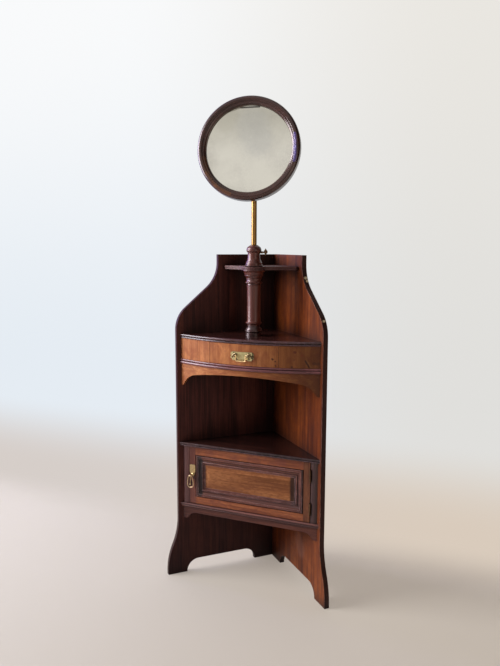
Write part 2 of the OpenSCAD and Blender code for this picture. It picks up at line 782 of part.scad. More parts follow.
module door_moulding() color([0.38, 0.20, 0.16]) at_corner() {
  mid = (sight_z0 + sight_z1) / 2;
  half_z = (sight_z1 - sight_z0) / 2;
  translate([0, 0, mid]) for (turn = [0, 180]) rotate([0, turn, 0]) {
    mould_length(sight_x, -half_z);
    rotate([0, 90, 0]) mould_length(half_z, -sight_x);
  }
}

// ---- door furniture ----

module catch_barrel(r) translate([-door_half, 10 - cup_d, catch_z]) rotate([0, 90, 0])
  cylinder(r = r, h = barrel_len);

module ball_catch() color([0.72, 0.58, 0.34]) at_corner() {
  catch_barrel(4);
  translate([2 - door_half, 10 - cup_d, catch_z]) sphere(r = 2.7, $fn = 48);
}

module drop_shank() translate([drop_x, -cup_d, drop_z]) rotate([-90, 0, 0]) cylinder(r = 2.4, h = door_t - 2);

// a plate that tapers to a narrow lower end
module drop_plate() color([0.74, 0.62, 0.42]) at_corner() difference() {
  half = drop_plate_w / 2;
  slab(cup_d, -1.5, 0) translate([drop_x, drop_z - 6]) difference() {
    polygon([[-4, 0], [4, 0], [6, 4.5], [half, 15], [half, drop_plate_h], [-half, drop_plate_h], [-half, 15], [-6, 4.5]]);
    for (side = [-1, 1]) translate([side * half, drop_plate_h]) circle(r = 2.5, $fn = 32);
  }
  translate([drop_x, -cup_d - 2, drop_z]) rotate([-90, 0, 0]) cylinder(r = 2.4, h = 4);
}

// a turned post that ends in a ball, with a small pendant below it
module drop_post() color([0.70, 0.58, 0.38]) at_corner() difference() {
  translate([drop_x, -cup_d, drop_z]) union() {
    rotate([90, 0, 0]) rotate_extrude($fn = 48) polygon(concat(
      [[0, 2 - door_t], [2.4, 2 - door_t], [2.4, 1.5], [4.6, 1.5], [4.6, 2.6], [2.6, 4.4], [2.2, drop_out - 6]],
      arc(0, drop_out, drop_ball_r, -45, 90, 10)));
    translate([0, -drop_out, 0]) rotate([180, 0, 0]) cylinder(r = 1, h = pendant_len, $fn = 24);
    translate([0, -drop_out, -pendant_len]) sphere(r = 2.1, $fn = 32);
  }
  translate([drop_x, -drop_d, drop_z]) rotate([0, 90, 0])
    cylinder(r = drop_pin_r + fit, h = 12, center = true, $fn = 48);
}

// a pear-shaped loop hung from two short pins
module drop_loop() color([0.78, 0.66, 0.46]) at_corner() translate([drop_x, -drop_d, drop_z]) {
  low = drop_half - drop_len;
  top_x = drop_ball_r + drop_r + 0.4;
  arm_a = 2 * atan((top_x - drop_half) / low);
  arm_r = round(-low / sin(arm_a));
  for (side = [0, 1]) mirror([side, 0, 0]) {
    translate([top_x, 0, 0]) rotate([0, -90, 0]) cylinder(r = drop_pin_r, h = 4.5, $fn = 48);
    bend(drop_half - arm_r, low, arm_r, 0, arm_a, drop_r);
    translate([top_x, 0, 0]) sphere(r = drop_r + 0.3, $fn = 32);
  }
  bend(0, low, drop_half, 180, 360, drop_r);
}

// ---- small shelf and column ----

// the small shelf's outline, kept back from its full size all round
module bracket_outline(inset) {
  w = bracket_w / root2;
  end = [-w + 6 + inset, -w - 8 + inset];
  r = boss_r - inset;
  boss_a = 162;
  join_r = r - 1.5;
  join = [join_r * cos(boss_a), -column_d + join_r * sin(boss_a)];
  chord = join - end;
  half = norm(chord) / 2;
  hollow = 6;
  sweep_r = (half * half + hollow * hollow) / (2 * hollow);
  out = [chord[1], -chord[0]] / norm(chord);
  union() {
    for (side = [0, 1]) mirror([side, 0]) difference() {
      polygon([[0, 0], [-w + inset, -w + inset], end, join, [0, -column_d]]);
      translate((end + join) / 2 + out * (sweep_r - hollow)) circle(r = sweep_r, $fn = 360);
    }
    translate([0, -column_d]) circle(r = r);
  }
}

// layers of the moulded edge, which run into each other a little:
// [share of the thickness it starts and ends at, how far it is kept back]
layer_lap = 0.02;
bracket_layers = [[0, 0.12, 1.7], [0.12, 0.32, 0.9], [0.32, 0.44, 2.6], [0.44, 0.56, 1], [0.56, 0.86, 0], [0.86, 1, 0.8]];

module bracket_shelf() color([0.36, 0.20, 0.17]) at_corner() difference() {
  union() {
    intersection() {
      union() for (layer = bracket_layers) translate([0, 0, bracket_z + layer[0] * bracket_t])
        linear_extrude(min((layer[1] - layer[0]) * bracket_t + layer_lap, (1 - layer[0]) * bracket_t))
          bracket_outline(layer[2]);
      wedge(bracket_z, head_z);
    }
    tongues(bracket_z, bracket_t, bracket_w - bracket_back);
  }
  translate([0, -column_d, bracket_z - 1]) cylinder(r = spigot_r, h = bracket_t + 2);
}

module at_column() translate([0, -column_d, 0]) children();

// the shaft, with a moulded base on the bow shelf and a bell under the small shelf
module column_shaft() color([0.40, 0.20, 0.13]) at_corner() at_column() difference() {
  base = bow_top;
  top = bracket_z;
  rotate_extrude() polygon(concat(
    [[0, bow_z], [spigot_r, bow_z], [spigot_r, base], [25.5, base], [25.5, base + 9], [24, base + 10.5]],
    arc(23.5, base + 15, 3.5, -70, 70, 8),
    [[24, base + 21], [22.5, base + 24], [19.6, base + 28], [19.6, base + 33], [20.5, base + 36.5]],
    arc(22.2, base + 39.8, 2.5, -70, 70, 6),
    [[shaft_r + 0.8, base + 43.5], [shaft_r, base + 47], [shaft_r, top - 48]],
    arc(shaft_r - 0.7, top - 44.2, 1.9, -60, 60, 4),
    [[shaft_r, top - 42], [shaft_r, top - 39.5], [23.5, top - 38.8]],
    arc(23.8, top - 36.6, 1.9, -70, 70, 5),
    [[23, top - 34], [21.4, top - 31], [21.4, top - 27], [22.2, top - 23], [24.6, top - 18.5],
      [25.6, top - 16.5], [25.6, top - 14], [27, top - 13.4], [28, top - 11], [29, top - 7.5],
      [31.5, top - 3.8], [33.5, top - 1.4], [33.5, top],
      [spigot_r, top], [spigot_r, head_z + 6], [0, head_z + 6]]));
  translate([0, 0, bore_z]) cylinder(r = bore_r, h = panel_h);
}

// the head above the small shelf, ending in a cap and a dome
module column_head() color([0.42, 0.22, 0.16]) at_corner() at_column() difference() {
  translate([0, 0, head_z]) rotate_extrude() polygon(concat(
    [[0, 0]],
    arc(24.1, 2.9, 2.9, -90, 70, 7),
    [[25, 6.6], [24.9, 9.5], [23, 13.5], [21, 17.5], [19.6, 22], [18.8, 27], [18.3, 33], [18.2, 38], [18.5, 41],
      [20, 42.6]],
    arc(19.2, head_h - 15.5, 3.2, -55, 0, 4),
    arc(8.9, head_h - 13.5, 13.5, 0, 70, 8),
    [[bush_r + 1.2, head_h], [0, head_h]]));
  translate([0, 0, head_z - 1]) cylinder(r = spigot_r, h = 7);
  translate([0, 0, head_z]) cylinder(r = bore_r, h = head_h + 1);
  translate([0, 0, head_top - bush_h]) cylinder(r = bush_r, h = bush_h + 1);
  translate([0, 0, thumb_z]) rotate([0, 90, 0]) cylinder(r = 5, h = 30);
}

module rod_bush() color([0.72, 0.56, 0.30]) at_corner() at_column()
  translate([0, 0, head_top - bush_h]) difference() {
    union() {
      cylinder(r = bush_r, h = bush_h);
      translate([0, 0, bush_h]) cylinder(r1 = bush_r + 1, r2 = bush_r, h = 1.2);
    }
    translate([0, 0, -1]) cylinder(r = rod_r + fit, h = bush_h + 4);
  }

module screw_insert() color([0.60, 0.46, 0.26]) at_corner() at_column() translate([0, 0, thumb_z])
  rotate([0, 90, 0]) difference() {
    translate([0, 0, bore_r]) cylinder(r = 5, h = 19 - bore_r);
    cylinder(r = 2.5 + fit, h = 40);
  }

// ---- rod, mirror and thumb screw ----

module rod_collar() color([0.68, 0.52, 0.28]) at_corner() at_column() translate([0, 0, rod_foot_z + 3.3])
  difference() {
    cylinder(r = collar_r, h = collar_h);
    translate([0, 0, -1]) cylinder(r = stem_r + fit, h = collar_h + 2);
  }

// the rod: a headed foot that holds the collar, a plain shaft and a flattened eye
module mirror_rod() color([0.80, 0.60, 0.28]) at_corner() at_column() difference() {
  union() {
    translate([0, 0, rod_foot_z]) cylinder(r = rod_r, h = 3);
    translate([0, 0, rod_foot_z]) cylinder(r = stem_r, h = collar_h + 5);
    translate([0, 0, rod_foot_z + collar_h + 3.6])
      cylinder(r = rod_r, h = pivot_z - 15 - rod_foot_z - collar_h - 3.6);
    intersection() {
      translate([0, 0, pivot_z - 16]) cylinder(r = rod_r, h = 16);
      rotate(mirror_turn) translate([-eye_half, -rod_r, pivot_z - 16]) cube([2 * eye_half, 2 * rod_r, 16]);
    }
    rotate(mirror_turn) translate([-eye_half, 0, pivot_z]) rotate([0, 90, 0])
      cylinder(r = eye_r, h = 2 * eye_half);
  }
  rotate(mirror_turn) translate([-eye_half - 1, 0, pivot_z]) rotate([0, 90, 0])
    cylinder(r = bolt_r + fit, h = 2 * eye_half + 2);
}

// z runs forward out of the glass, from the back of the wooden ring; x = 0 is at the rod
module at_bracket() at_corner() translate([0, -column_d, pivot_z]) rotate(mirror_turn)
  rotate([90 - lean, 0, 0]) translate([0, 0, stand_off]) children();

// the same, centred on the ring
module at_mirror() at_bracket() translate([-mirror_shift, 0, 0]) children();

// turned ring: rebate behind, a round outer roll, a quirk, and an ovolo down to the glass
module mirror_frame() color([0.30, 0.17, 0.14]) at_mirror() difference() {
  ovolo = face_w - 14.5;
  rotate_extrude($fn = 240) polygon(concat(
    [[rebate_r, 0], [mirror_r - 6, 0]],
    arc_on(mirror_r - 6, 6, 6, -90, 0, 6),
    arc(mirror_r - 9.5, mirror_d - 9.5, 9.5, 0, 118, 14),
    [[mirror_r - 14.5, mirror_d - 3.4]],
    arc(sight_r + ovolo, rebate_d + 3, ovolo, 97, 180, 10),
    [[sight_r, rebate_d], [rebate_r, rebate_d]]));
  brad_set();
}

module mirror_glass() color([0.75, 0.73, 0.70]) at_mirror()
  translate([0, 0, rebate_d - glass_t]) cylinder(r = rebate_r - 0.3, h = glass_t, $fn = 240);

module mirror_back() color([0.42, 0.30, 0.20]) at_mirror() difference() {
  translate([0, 0, back_h0]) cylinder(r = rebate_r - 0.3, h = back_t, $fn = 240);
  translate([mirror_shift, 0, 0]) bracket_screw_set();
}

module brad_set() for (i = [0:7]) rotate([0, 0, 45 * i + 22.5])
  translate([rebate_r - 6, 0, back_h0 - 0.8]) rotate([0, 90, 0]) cylinder(r = 0.8, h = 11, $fn = 24);

module back_brads() color([0.5, 0.5, 0.5]) at_mirror() brad_set();

module bracket_screw_set() for (x = [-18, 18], y = [-12, 12])
  translate([x, y, back_h0 - plate_t]) rotate([180, 0, 0]) countersunk(9, 1.5, 3);

// a screwed plate with two ears that reach back to the rod's eye
module mirror_bracket() color([0.66, 0.50, 0.28]) at_bracket() difference() {
  union() {
    translate([-25, -19, back_h0 - plate_t]) cube([50, 38, plate_t]);
    for (side = [0, 1]) mirror([side, 0, 0]) translate([ear_in, 0, 0]) {
      translate([0, -eye_r, -stand_off]) cube([ear_t, 2 * eye_r, stand_off + back_h0 - plate_t]);
      translate([0, 0, -stand_off]) rotate([0, 90, 0]) cylinder(r = eye_r, h = ear_t);
    }
  }
  translate([-20, 0, -stand_off]) rotate([0, 90, 0]) cylinder(r = bolt_r, h = 40);
  bracket_screw_set();
}

module bracket_screws() color([0.62, 0.48, 0.28]) at_bracket() bracket_screw_set();

module pivot_bolt() color([0.70, 0.54, 0.30]) at_bracket() translate([0, 0, -stand_off]) rotate([0, 90, 0]) {
  translate([0, 0, -ear_in - ear_t]) cylinder(r = bolt_r, h = 2 * (ear_in + ear_t) + 9);
  translate([0, 0, -ear_in - ear_t - 3.5]) cylinder(r = 6, h = 3.5);
}

module pivot_nut() color([0.70, 0.54, 0.30]) at_bracket()
  translate([ear_in + ear_t, 0, -stand_off]) rotate([0, 90, 0]) difference() {
    union() {
      cylinder(r1 = 6.5, r2 = 5, h = 8);
      for (side = [0, 1]) mirror([0, side, 0]) intersection() {
        translate([-1.3, 3, 1]) cube([2.6, 12, 12]);
        translate([-3, 9.5, 7]) rotate([0, 90, 0]) cylinder(r = 6, h = 6, $fn = 48);
      }
    }
    translate([0, 0, -1]) cylinder(r = bolt_r, h = 16);
  }

// shank and flattened pear-shaped grip
module thumb_screw() color([0.36, 0.27, 0.20]) at_corner() at_column() translate([0, 0, thumb_z]) {
  translate([rod_r + 0.3, 0, 0]) rotate([0, 90, 0]) cylinder(r = 2.5, h = 33 - rod_r);
  translate([23.5, 0, 0]) rotate([0, 90, 0]) cylinder(r = 3.4, h = 4);
  intersection() {
    translate([37, 0, 0]) rotate_extrude($fn = 48) polygon(concat(
      arc(0, -7, 2.6, -90, 20, 6), [[2.4, -4.5], [3.4, -3.4]],
      arc(0, 1.5, 6, -50, 55, 10), [[1.6, 9.5], [0, 12]]));
    translate([28, -3.2, -12]) cube([20, 6.4, 26]);
  }
}

left_panel();
right_panel();
corner_screws();
bow_shelf();
frieze_left();
frieze_right();
drawer_board();
bow_apron();
drawer_guide_left();
drawer_guide_right();
drawer_stop();
bracket_shelf();
column_shaft();
column_head();
rod_bush();
screw_insert();
lower_shelf();
cupboard_post_left();
cupboard_post_right();
cupboard_floor();
cupboard_apron();
door_stop();
catch_plate();
post_hinge_leaves();
hinge_pins();
post_hinge_screws();
drawer_front();
drawer_side_left();
drawer_side_right();
drawer_back();
drawer_bottom();
drawer_plate();
drawer_posts();
handle_nuts();
drawer_bail();
door_stile_left();
door_stile_right();
door_rail_top();
door_rail_bottom();
door_panel();
door_moulding();
door_hinge_leaves();
door_hinge_screws();
ball_catch();
drop_plate();
drop_post();
drop_loop();
rod_collar();
mirror_rod();
mirror_frame();
mirror_glass();
mirror_back();
back_brads();
mirror_bracket();
bracket_screws();
pivot_bolt();
pivot_nut();
thumb_screw();
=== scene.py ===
import json
import math

import bmesh
import bpy
from mathutils import Matrix, Vector

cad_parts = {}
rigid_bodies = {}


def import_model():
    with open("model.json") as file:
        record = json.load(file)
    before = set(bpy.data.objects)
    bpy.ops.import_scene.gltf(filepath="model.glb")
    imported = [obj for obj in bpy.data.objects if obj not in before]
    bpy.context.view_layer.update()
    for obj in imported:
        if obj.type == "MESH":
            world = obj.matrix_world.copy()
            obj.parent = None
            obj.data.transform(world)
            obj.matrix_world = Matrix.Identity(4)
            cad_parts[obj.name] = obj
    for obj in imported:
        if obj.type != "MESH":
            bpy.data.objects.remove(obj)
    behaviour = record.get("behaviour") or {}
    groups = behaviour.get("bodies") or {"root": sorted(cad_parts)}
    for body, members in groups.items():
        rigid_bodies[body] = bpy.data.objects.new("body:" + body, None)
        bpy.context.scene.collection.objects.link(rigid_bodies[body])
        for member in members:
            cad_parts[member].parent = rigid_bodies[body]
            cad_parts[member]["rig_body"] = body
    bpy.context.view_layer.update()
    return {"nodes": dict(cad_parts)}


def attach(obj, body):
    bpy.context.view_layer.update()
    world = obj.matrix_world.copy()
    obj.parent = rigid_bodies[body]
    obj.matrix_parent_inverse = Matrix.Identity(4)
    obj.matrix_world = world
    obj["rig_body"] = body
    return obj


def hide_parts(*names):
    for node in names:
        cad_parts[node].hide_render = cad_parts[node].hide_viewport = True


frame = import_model()
nodes = frame["nodes"]
print("frame loaded:", len(nodes), "pieces")

scene = bpy.context.scene
scene.view_settings.view_transform = "Standard"


def tone(red, green, blue):  # a colour as it is read off a screen, 0 to 255
    def linear(value):
        value = value / 255
        return value / 12.92 if value <= 0.04045 else ((value + 0.055) / 1.055) ** 2.4

    return (linear(red), linear(green), linear(blue), 1)


cameraView = {
    "place": (0.7178, -1.8427, 1.0566),  # metres
    "turn": 22.11,  # degrees, to the left of straight ahead
    "down": 7.82,
    "roll": 0.18,
    "lens": 34.92,  # millimetres
    "film": 36,  # the longer side of the picture, in millimetres
    "nearest": 0.05,  # metres
}


def makeCamera(view):
    data = bpy.data.cameras.new("camera")
    data.lens = view["lens"]
    data.sensor_width = view["film"]
    data.clip_start = view["nearest"]
    camera = bpy.data.objects.new("camera", data)
    scene.collection.objects.link(camera)
    turn, down, roll = (math.radians(view[k]) for k in ("turn", "down", "roll"))
    level = Vector((-math.sin(turn), math.cos(turn), 0))
    side = Vector((math.cos(turn), math.sin(turn), 0))
    ahead = level * math.cos(down) - Vector((0, 0, math.sin(down)))
    over = level * math.sin(down) + Vector((0, 0, math.cos(down)))
    right = side * math.cos(roll) + over * math.sin(roll)
    up = over * math.cos(roll) - side * math.sin(roll)
    camera.matrix_world = Matrix((
        (right.x, up.x, -ahead.x, view["place"][0]),
        (right.y, up.y, -ahead.y, view["place"][1]),
        (right.z, up.z, -ahead.z, view["place"][2]),
        (0, 0, 0, 1),
    ))
    scene.camera = camera


makeCamera(cameraView)
print("camera placed")


# helpers that add shader nodes
def addNode(tree, kind, settings=None, values=None):
    node = tree.nodes.new(kind)
    for key, value in (settings or {}).items():
        setattr(node, key, value)
    for key, value in (values or {}).items():
        node.inputs[key].default_value = value
    return node


def feed(tree, socket, value):
    if isinstance(value, (int, float, tuple)):
        socket.default_value = value
    else:
        tree.links.new(value, socket)


def addMath(tree, operation, a, b=None, clamp=False):
    node = addNode(tree, "ShaderNodeMath", {"operation": operation, "use_clamp": clamp})
    feed(tree, node.inputs[0], a)
    if b is not None:
        feed(tree, node.inputs[1], b)
    return node.outputs[0]


def addShare(tree, value, share):
    return addMath(tree, "MULTIPLY", value, share)


def addVector(tree, operation, a, b=None, output="Vector"):
    node = addNode(tree, "ShaderNodeVectorMath", {"operation": operation})
    feed(tree, node.inputs[0], a)
    if b is not None:
        feed(tree, node.inputs["Scale" if operation == "SCALE" else 1], b)
    return node.outputs[output]


def addRange(tree, value, low, high, outLow=0.0, outHigh=1.0):
    node = addNode(tree, "ShaderNodeMapRange", {"interpolation_type": "SMOOTHSTEP"},
                   {"From Min": low, "From Max": high, "To Min": outLow, "To Max": outHigh})
    tree.links.new(value, node.inputs["Value"])
    return node.outputs[0]


def addMix(tree, factor, a, b, blend="MIX"):
    node = addNode(tree, "ShaderNodeMix", {"data_type": "RGBA", "blend_type": blend})
    for label, value in (("Factor", factor), ("A", a), ("B", b)):
        feed(tree, node.inputs[label], value)
    return node.outputs["Result"]


def addNoise(tree, vector, scale, detail=2.0, rough=0.5, warp=0.0):
    values = {"Scale": scale, "Detail": detail, "Roughness": rough, "Distortion": warp}
    node = addNode(tree, "ShaderNodeTexNoise", None, values)
    tree.links.new(vector, node.inputs["Vector"])
    return node.outputs["Fac"]


def addPlace(tree):
    return addNode(tree, "ShaderNodeTexCoord").outputs["Object"]


def addSplit(tree, vector):
    split = addNode(tree, "ShaderNodeSeparateXYZ")
    tree.links.new(vector, split.inputs[0])
    return split.outputs


def addBlend(tree, share, first, second):  # from one shader to another
    node = addNode(tree, "ShaderNodeMixShader")
    for socket, value in zip(node.inputs, (share, first, second)):
        tree.links.new(value, socket)
    return node.outputs[0]


def addBump(tree, height, strength, distance, shader):
    bump = addNode(tree, "ShaderNodeBump", None, {"Strength": strength, "Distance": distance})
    tree.links.new(height, bump.inputs["Height"])
    tree.links.new(bump.outputs[0], shader.inputs["Normal"])


def seenOnly(tree):  # 1 for what the camera, a gloss or a glass sees
    path = addNode(tree, "ShaderNodeLightPath")
    either = addMath(tree, "MAXIMUM", path.outputs["Is Camera Ray"], path.outputs["Is Glossy Ray"])
    return addMath(tree, "MAXIMUM", either, path.outputs["Is Transmission Ray"])


def newMaterial(name):
    material = bpy.data.materials.new(name)
    material.use_nodes = True
    return material, material.node_tree, material.node_tree.nodes["Principled BSDF"]


def newObject(name, mesh):
    thing = bpy.data.objects.new(name, mesh)
    scene.collection.objects.link(thing)
    return thing


room = {
    "length": 40,  # metres to each side
    "wallBehind": 0.75,  # metres behind the stand
    "wallTop": 20.0,  # metres up
    "bend": 0.3,  # radius between floor and wall
    "bendSteps": 12,
    "floorDrop": 0.002,  # how much lower the floor behind the wall lies
    "rough": 0.85,
    "specular": 0.1,
    "floorColour": tone(192, 183, 172),
    "wallColour": tone(226, 228, 230),
    "rise": (0.005, 0.28),  # heights between which the floor's tones turn into the wall's
    "across": (-1.0, 0.6),  # places between which the tones of the left turn into those of the right
    "upward": (0.4, 2.2),  # heights between which the wall's low tones turn into its high ones
    "floorGlow": tone(214, 206, 201),
    "floorGlowRight": tone(217, 203, 188),
    "wallLeft": tone(229, 236, 243),
    "wallRight": tone(224, 223, 220),
    "wallTopLeft": tone(249, 250, 251),
    "wallTopRight": tone(234, 231, 225),
    "glowShare": 0.45,  # how much of the floor's colour is plain, without light and shadow
    "plainFrom": 0.8,  # metres from the stand where the floor starts to turn plain
    "plainTo": 2.4,
    "behindFrom": 0.1,  # metres behind the stand where it starts as well
    "shines": [  # what polish shows of the wall's right and left: from, to, tone
        (0.2, 1.1, tone(66, 54, 44)),
        (-0.4, -1.2, tone(150, 136, 204)),
    ],
}


def makeSweep(look):  # a floor that bends up into a wall, and a floor behind the wall
    back, bend, length = look["wallBehind"], look["bend"], look["length"]
    points = [(-length, 0.0)]
    for step in range(look["bendSteps"] + 1):
        angle = step * math.pi / 2 / look["bendSteps"]
        points.append((back - bend + bend * math.sin(angle), bend - bend * math.cos(angle)))
    points.append((back, look["wallTop"]))
    work = bmesh.new()
    left, right = ([work.verts.new((x, y, z)) for y, z in points] for x in (-length, length))
    for i in range(len(points) - 1):
        work.faces.new((left[i], right[i], right[i + 1], left[i + 1])).smooth = True
    behind = Matrix.Translation((0, length + back - bend, -look["floorDrop"]))
    bmesh.ops.create_grid(work, x_segments=1, y_segments=1, size=length, matrix=behind)
    mesh = bpy.data.meshes.new("backdrop")
    work.to_mesh(mesh)
    work.free()
    return mesh


def roomMaterial(look):
    material, tree, shader = newMaterial("backdrop")
    shader.inputs["Roughness"].default_value = look["rough"]
    shader.inputs["Specular IOR Level"].default_value = look["specular"]
    place = addPlace(tree)
    x, y, z = addSplit(tree, place)
    rise = addRange(tree, z, *look["rise"])
    tree.links.new(addMix(tree, rise, look["floorColour"], look["wallColour"]), shader.inputs["Base Color"])

    # the tones that are seen, whatever light falls there
    across = addRange(tree, x, *look["across"])
    low = addMix(tree, across, look["wallLeft"], look["wallRight"])
    high = addMix(tree, across, look["wallTopLeft"], look["wallTopRight"])
    wall = addMix(tree, addRange(tree, z, *look["upward"]), low, high)
    path = addNode(tree, "ShaderNodeLightPath")
    for start, finish, shineTone in look["shines"]:
        shine = addMath(tree, "MULTIPLY", path.outputs["Is Glossy Ray"], addRange(tree, x, start, finish))
        wall = addMix(tree, shine, wall, shineTone)
    ground = addMix(tree, across, look["floorGlow"], look["floorGlowRight"])
    glow = addNode(tree, "ShaderNodeEmission")
    tree.links.new(addMix(tree, rise, ground, wall), glow.inputs["Color"])

    # near the stand part of the floor's light and shadow shows, and further off none
    gap = addVector(tree, "LENGTH", place, output="Value")
    away = addRange(tree, gap, look["plainFrom"], look["plainTo"], look["glowShare"])
    behind = addRange(tree, y, look["behindFrom"], look["wallBehind"] - look["bend"], look["glowShare"])
    plain = addMath(tree, "MAXIMUM", rise, addMath(tree, "MAXIMUM", away, behind))
    share = addMath(tree, "MULTIPLY", seenOnly(tree), plain)
    surface = addBlend(tree, share, shader.outputs[0], glow.outputs[0])

    # a camera behind the wall looks through it
    reverse = addNode(tree, "ShaderNodeNewGeometry").outputs["Backfacing"]
    through = addMath(tree, "MULTIPLY", reverse, path.outputs["Is Camera Ray"])
    clear = addNode(tree, "ShaderNodeBsdfTransparent").outputs[0]
    tree.links.new(addBlend(tree, through, surface, clear), tree.nodes["Material Output"].inputs["Surface"])
    return material


backdrop = newObject("backdrop", makeSweep(room))
backdrop.data.materials.append(roomMaterial(room))

openAir = {
    "light": tone(232, 234, 242),
    "strength": 0.13,
    "seen": tone(236, 236, 235),  # past the ends of the backdrop
    "shineLow": tone(84, 76, 71),
    "shineHigh": tone(218, 216, 209),
    "upward": (0.04, 0.34),
    "shineRight": tone(60, 48, 38),
    "rightward": (0.25, 0.75),
}


def makeWorld(look):
    world = bpy.data.worlds.new("world")
    scene.world = world
    world.use_nodes = True
    tree = world.node_tree
    light = tree.nodes["Background"]
    light.inputs["Color"].default_value = look["light"]
    light.inputs["Strength"].default_value = look["strength"]
    way = addSplit(tree, addNode(tree, "ShaderNodeTexCoord").outputs["Generated"])
    shine = addMix(tree, addRange(tree, way["Z"], *look["upward"]), look["shineLow"], look["shineHigh"])
    shine = addMix(tree, addRange(tree, way["X"], *look["rightward"]), shine, look["shineRight"])
    path = addNode(tree, "ShaderNodeLightPath")
    glow = addNode(tree, "ShaderNodeBackground")
    tree.links.new(addMix(tree, path.outputs["Is Glossy Ray"], look["seen"], shine), glow.inputs["Color"])
    surface = addBlend(tree, seenOnly(tree), light.outputs[0], glow.outputs[0])
    tree.links.new(surface, tree.nodes["World Output"].inputs["Surface"])


makeWorld(openAir)

lamps = {
    "keyLight": {"power": 186, "colour": (0.96, 0.97, 1.0), "size": (1.8, 2.4),
                 "place": (-2.75, -1.27, 1.9), "aim": (0, -0.05, 0.75)},
    "warmFill": {"power": 8, "colour": (1.0, 0.88, 0.74), "size": (1.2, 1.6),
                 "place": (2.2, -1.8, 1.5), "aim": (0, 0, 0.7)},
    "skyStrip": {"power": 15, "colour": (0.4, 0.42, 1.0), "size": (0.28, 1.3),
                 "place": (-2.2, 0.2, 1.5), "aim": (0, 0, 1.0)},
}


def makeLamp(name, look):
    data = bpy.data.lights.new(name, "AREA")
    data.energy = look["power"]
    data.color = look["colour"]
    data.shape = "RECTANGLE"
    data.size, data.size_y = look["size"]
    light = newObject(name, data)
    light.location = look["place"]
    way = Vector(look["aim"]) - Vector(look["place"])
    light.rotation_euler = way.to_track_quat("-Z", "Y").to_euler()


for lampName, lampLook in lamps.items():
    makeLamp(lampName, lampLook)
print("room and light made")


# shader groups that several materials share
def newGroup(name, inputs, outputs):
    group = bpy.data.node_groups.new(name, "ShaderNodeTree")
    for label, kind, value in inputs:
        socket = group.interface.new_socket(label, in_out="INPUT", socket_type="NodeSocket" + kind)
        if value is not None:
            socket.default_value = value
    for label in outputs:
        group.interface.new_socket(label, in_out="OUTPUT", socket_type="NodeSocketFloat")
    return group, group.nodes.new("NodeGroupInput").outputs, group.nodes.new("NodeGroupOutput").inputs


def addGroup(tree, group, vector, values=None):
    node = tree.nodes.new("ShaderNodeGroup")
    node.node_tree = group
    for key, value in (values or {}).items():
        node.inputs[key].default_value = value
    tree.links.new(vector, node.inputs["Vector"])
    return node.outputs


woodFigure = {  # along: how much a pattern is drawn out along the grain, the less the longer
    "seedShift": {"X": 1.7, "Y": 2.9, "Z": 0.83},
    "layers": [
        {"along": 0.12, "scale": 17, "detail": 2, "rough": 0.5, "warp": 0.35, "share": 0.34},
        {"along": 0.045, "scale": 78, "detail": 3, "rough": 0.6, "warp": 0.2, "share": 0.36},
        {"along": 0.022, "scale": 330, "detail": 2, "rough": 0.6, "warp": 0.0, "share": 0.3},
    ],
    "range": (0.36, 0.64),
    "masks": {
        "Pores": {"along": 0.03, "scale": 900, "detail": 2, "rough": 0.5, "warp": 0.0, "range": (0.58, 0.72)},
        "Cloud": {"along": 0.45, "scale": 11, "detail": 4, "rough": 0.6, "warp": 0.5, "range": (0.34, 0.66)},
        "Mottle": {"along": 0.7, "scale": 38, "detail": 3, "rough": 0.6, "warp": 0.6, "range": (0.4, 0.64)},
        "Fleck": {"along": 0.35, "scale": 260, "detail": 2, "rough": 0.6, "warp": 0.0, "range": (0.4, 0.64)},
    },
}


def makeFigure(look):  # wood figure: x and y across the grain, z along it
    inputs = [("Vector", "Vector", None), ("Seed", "Float", 0.0)]
    group, start, end = newGroup("woodFigure", inputs, ("Figure", *look["masks"]))
    shift = addNode(group, "ShaderNodeCombineXYZ")
    for axis, share in look["seedShift"].items():
        group.links.new(addShare(group, start["Seed"], share), shift.inputs[axis])
    moved = addVector(group, "ADD", start["Vector"], shift.outputs[0])

    def pattern(layer):
        drawn = addVector(group, "MULTIPLY", moved, (1.0, 1.0, layer["along"]))
        return addNoise(group, drawn, layer["scale"], layer["detail"], layer["rough"], layer["warp"])

    parts = [addShare(group, pattern(layer), layer["share"]) for layer in look["layers"]]
    total = parts[0]
    for part in parts[1:]:
        total = addMath(group, "ADD", total, part)
    group.links.new(addRange(group, total, *look["range"]), end["Figure"])
    for label, mask in look["masks"].items():
        group.links.new(addRange(group, pattern(mask), *mask["range"]), end[label])
    return group


wearSheenShade = {
    "bevelSamples": 4,
    "closedSamples": 6,
    "bent": (0.015, 0.14),  # how far the surface turns away where wear and painted sheen start and are full
    "open": (0.75, 0.95),  # how free a place lies where wear and painted sheen start and are full
    "closed": (0.35, 0.9),  # and where grime and painted shade are full and end
    "patches": {"scale": 55, "detail": 3, "rough": 0.6},
    "patchRange": (0.35, 0.62),
    "leastWear": 0.25,  # of an edge between the patches
}


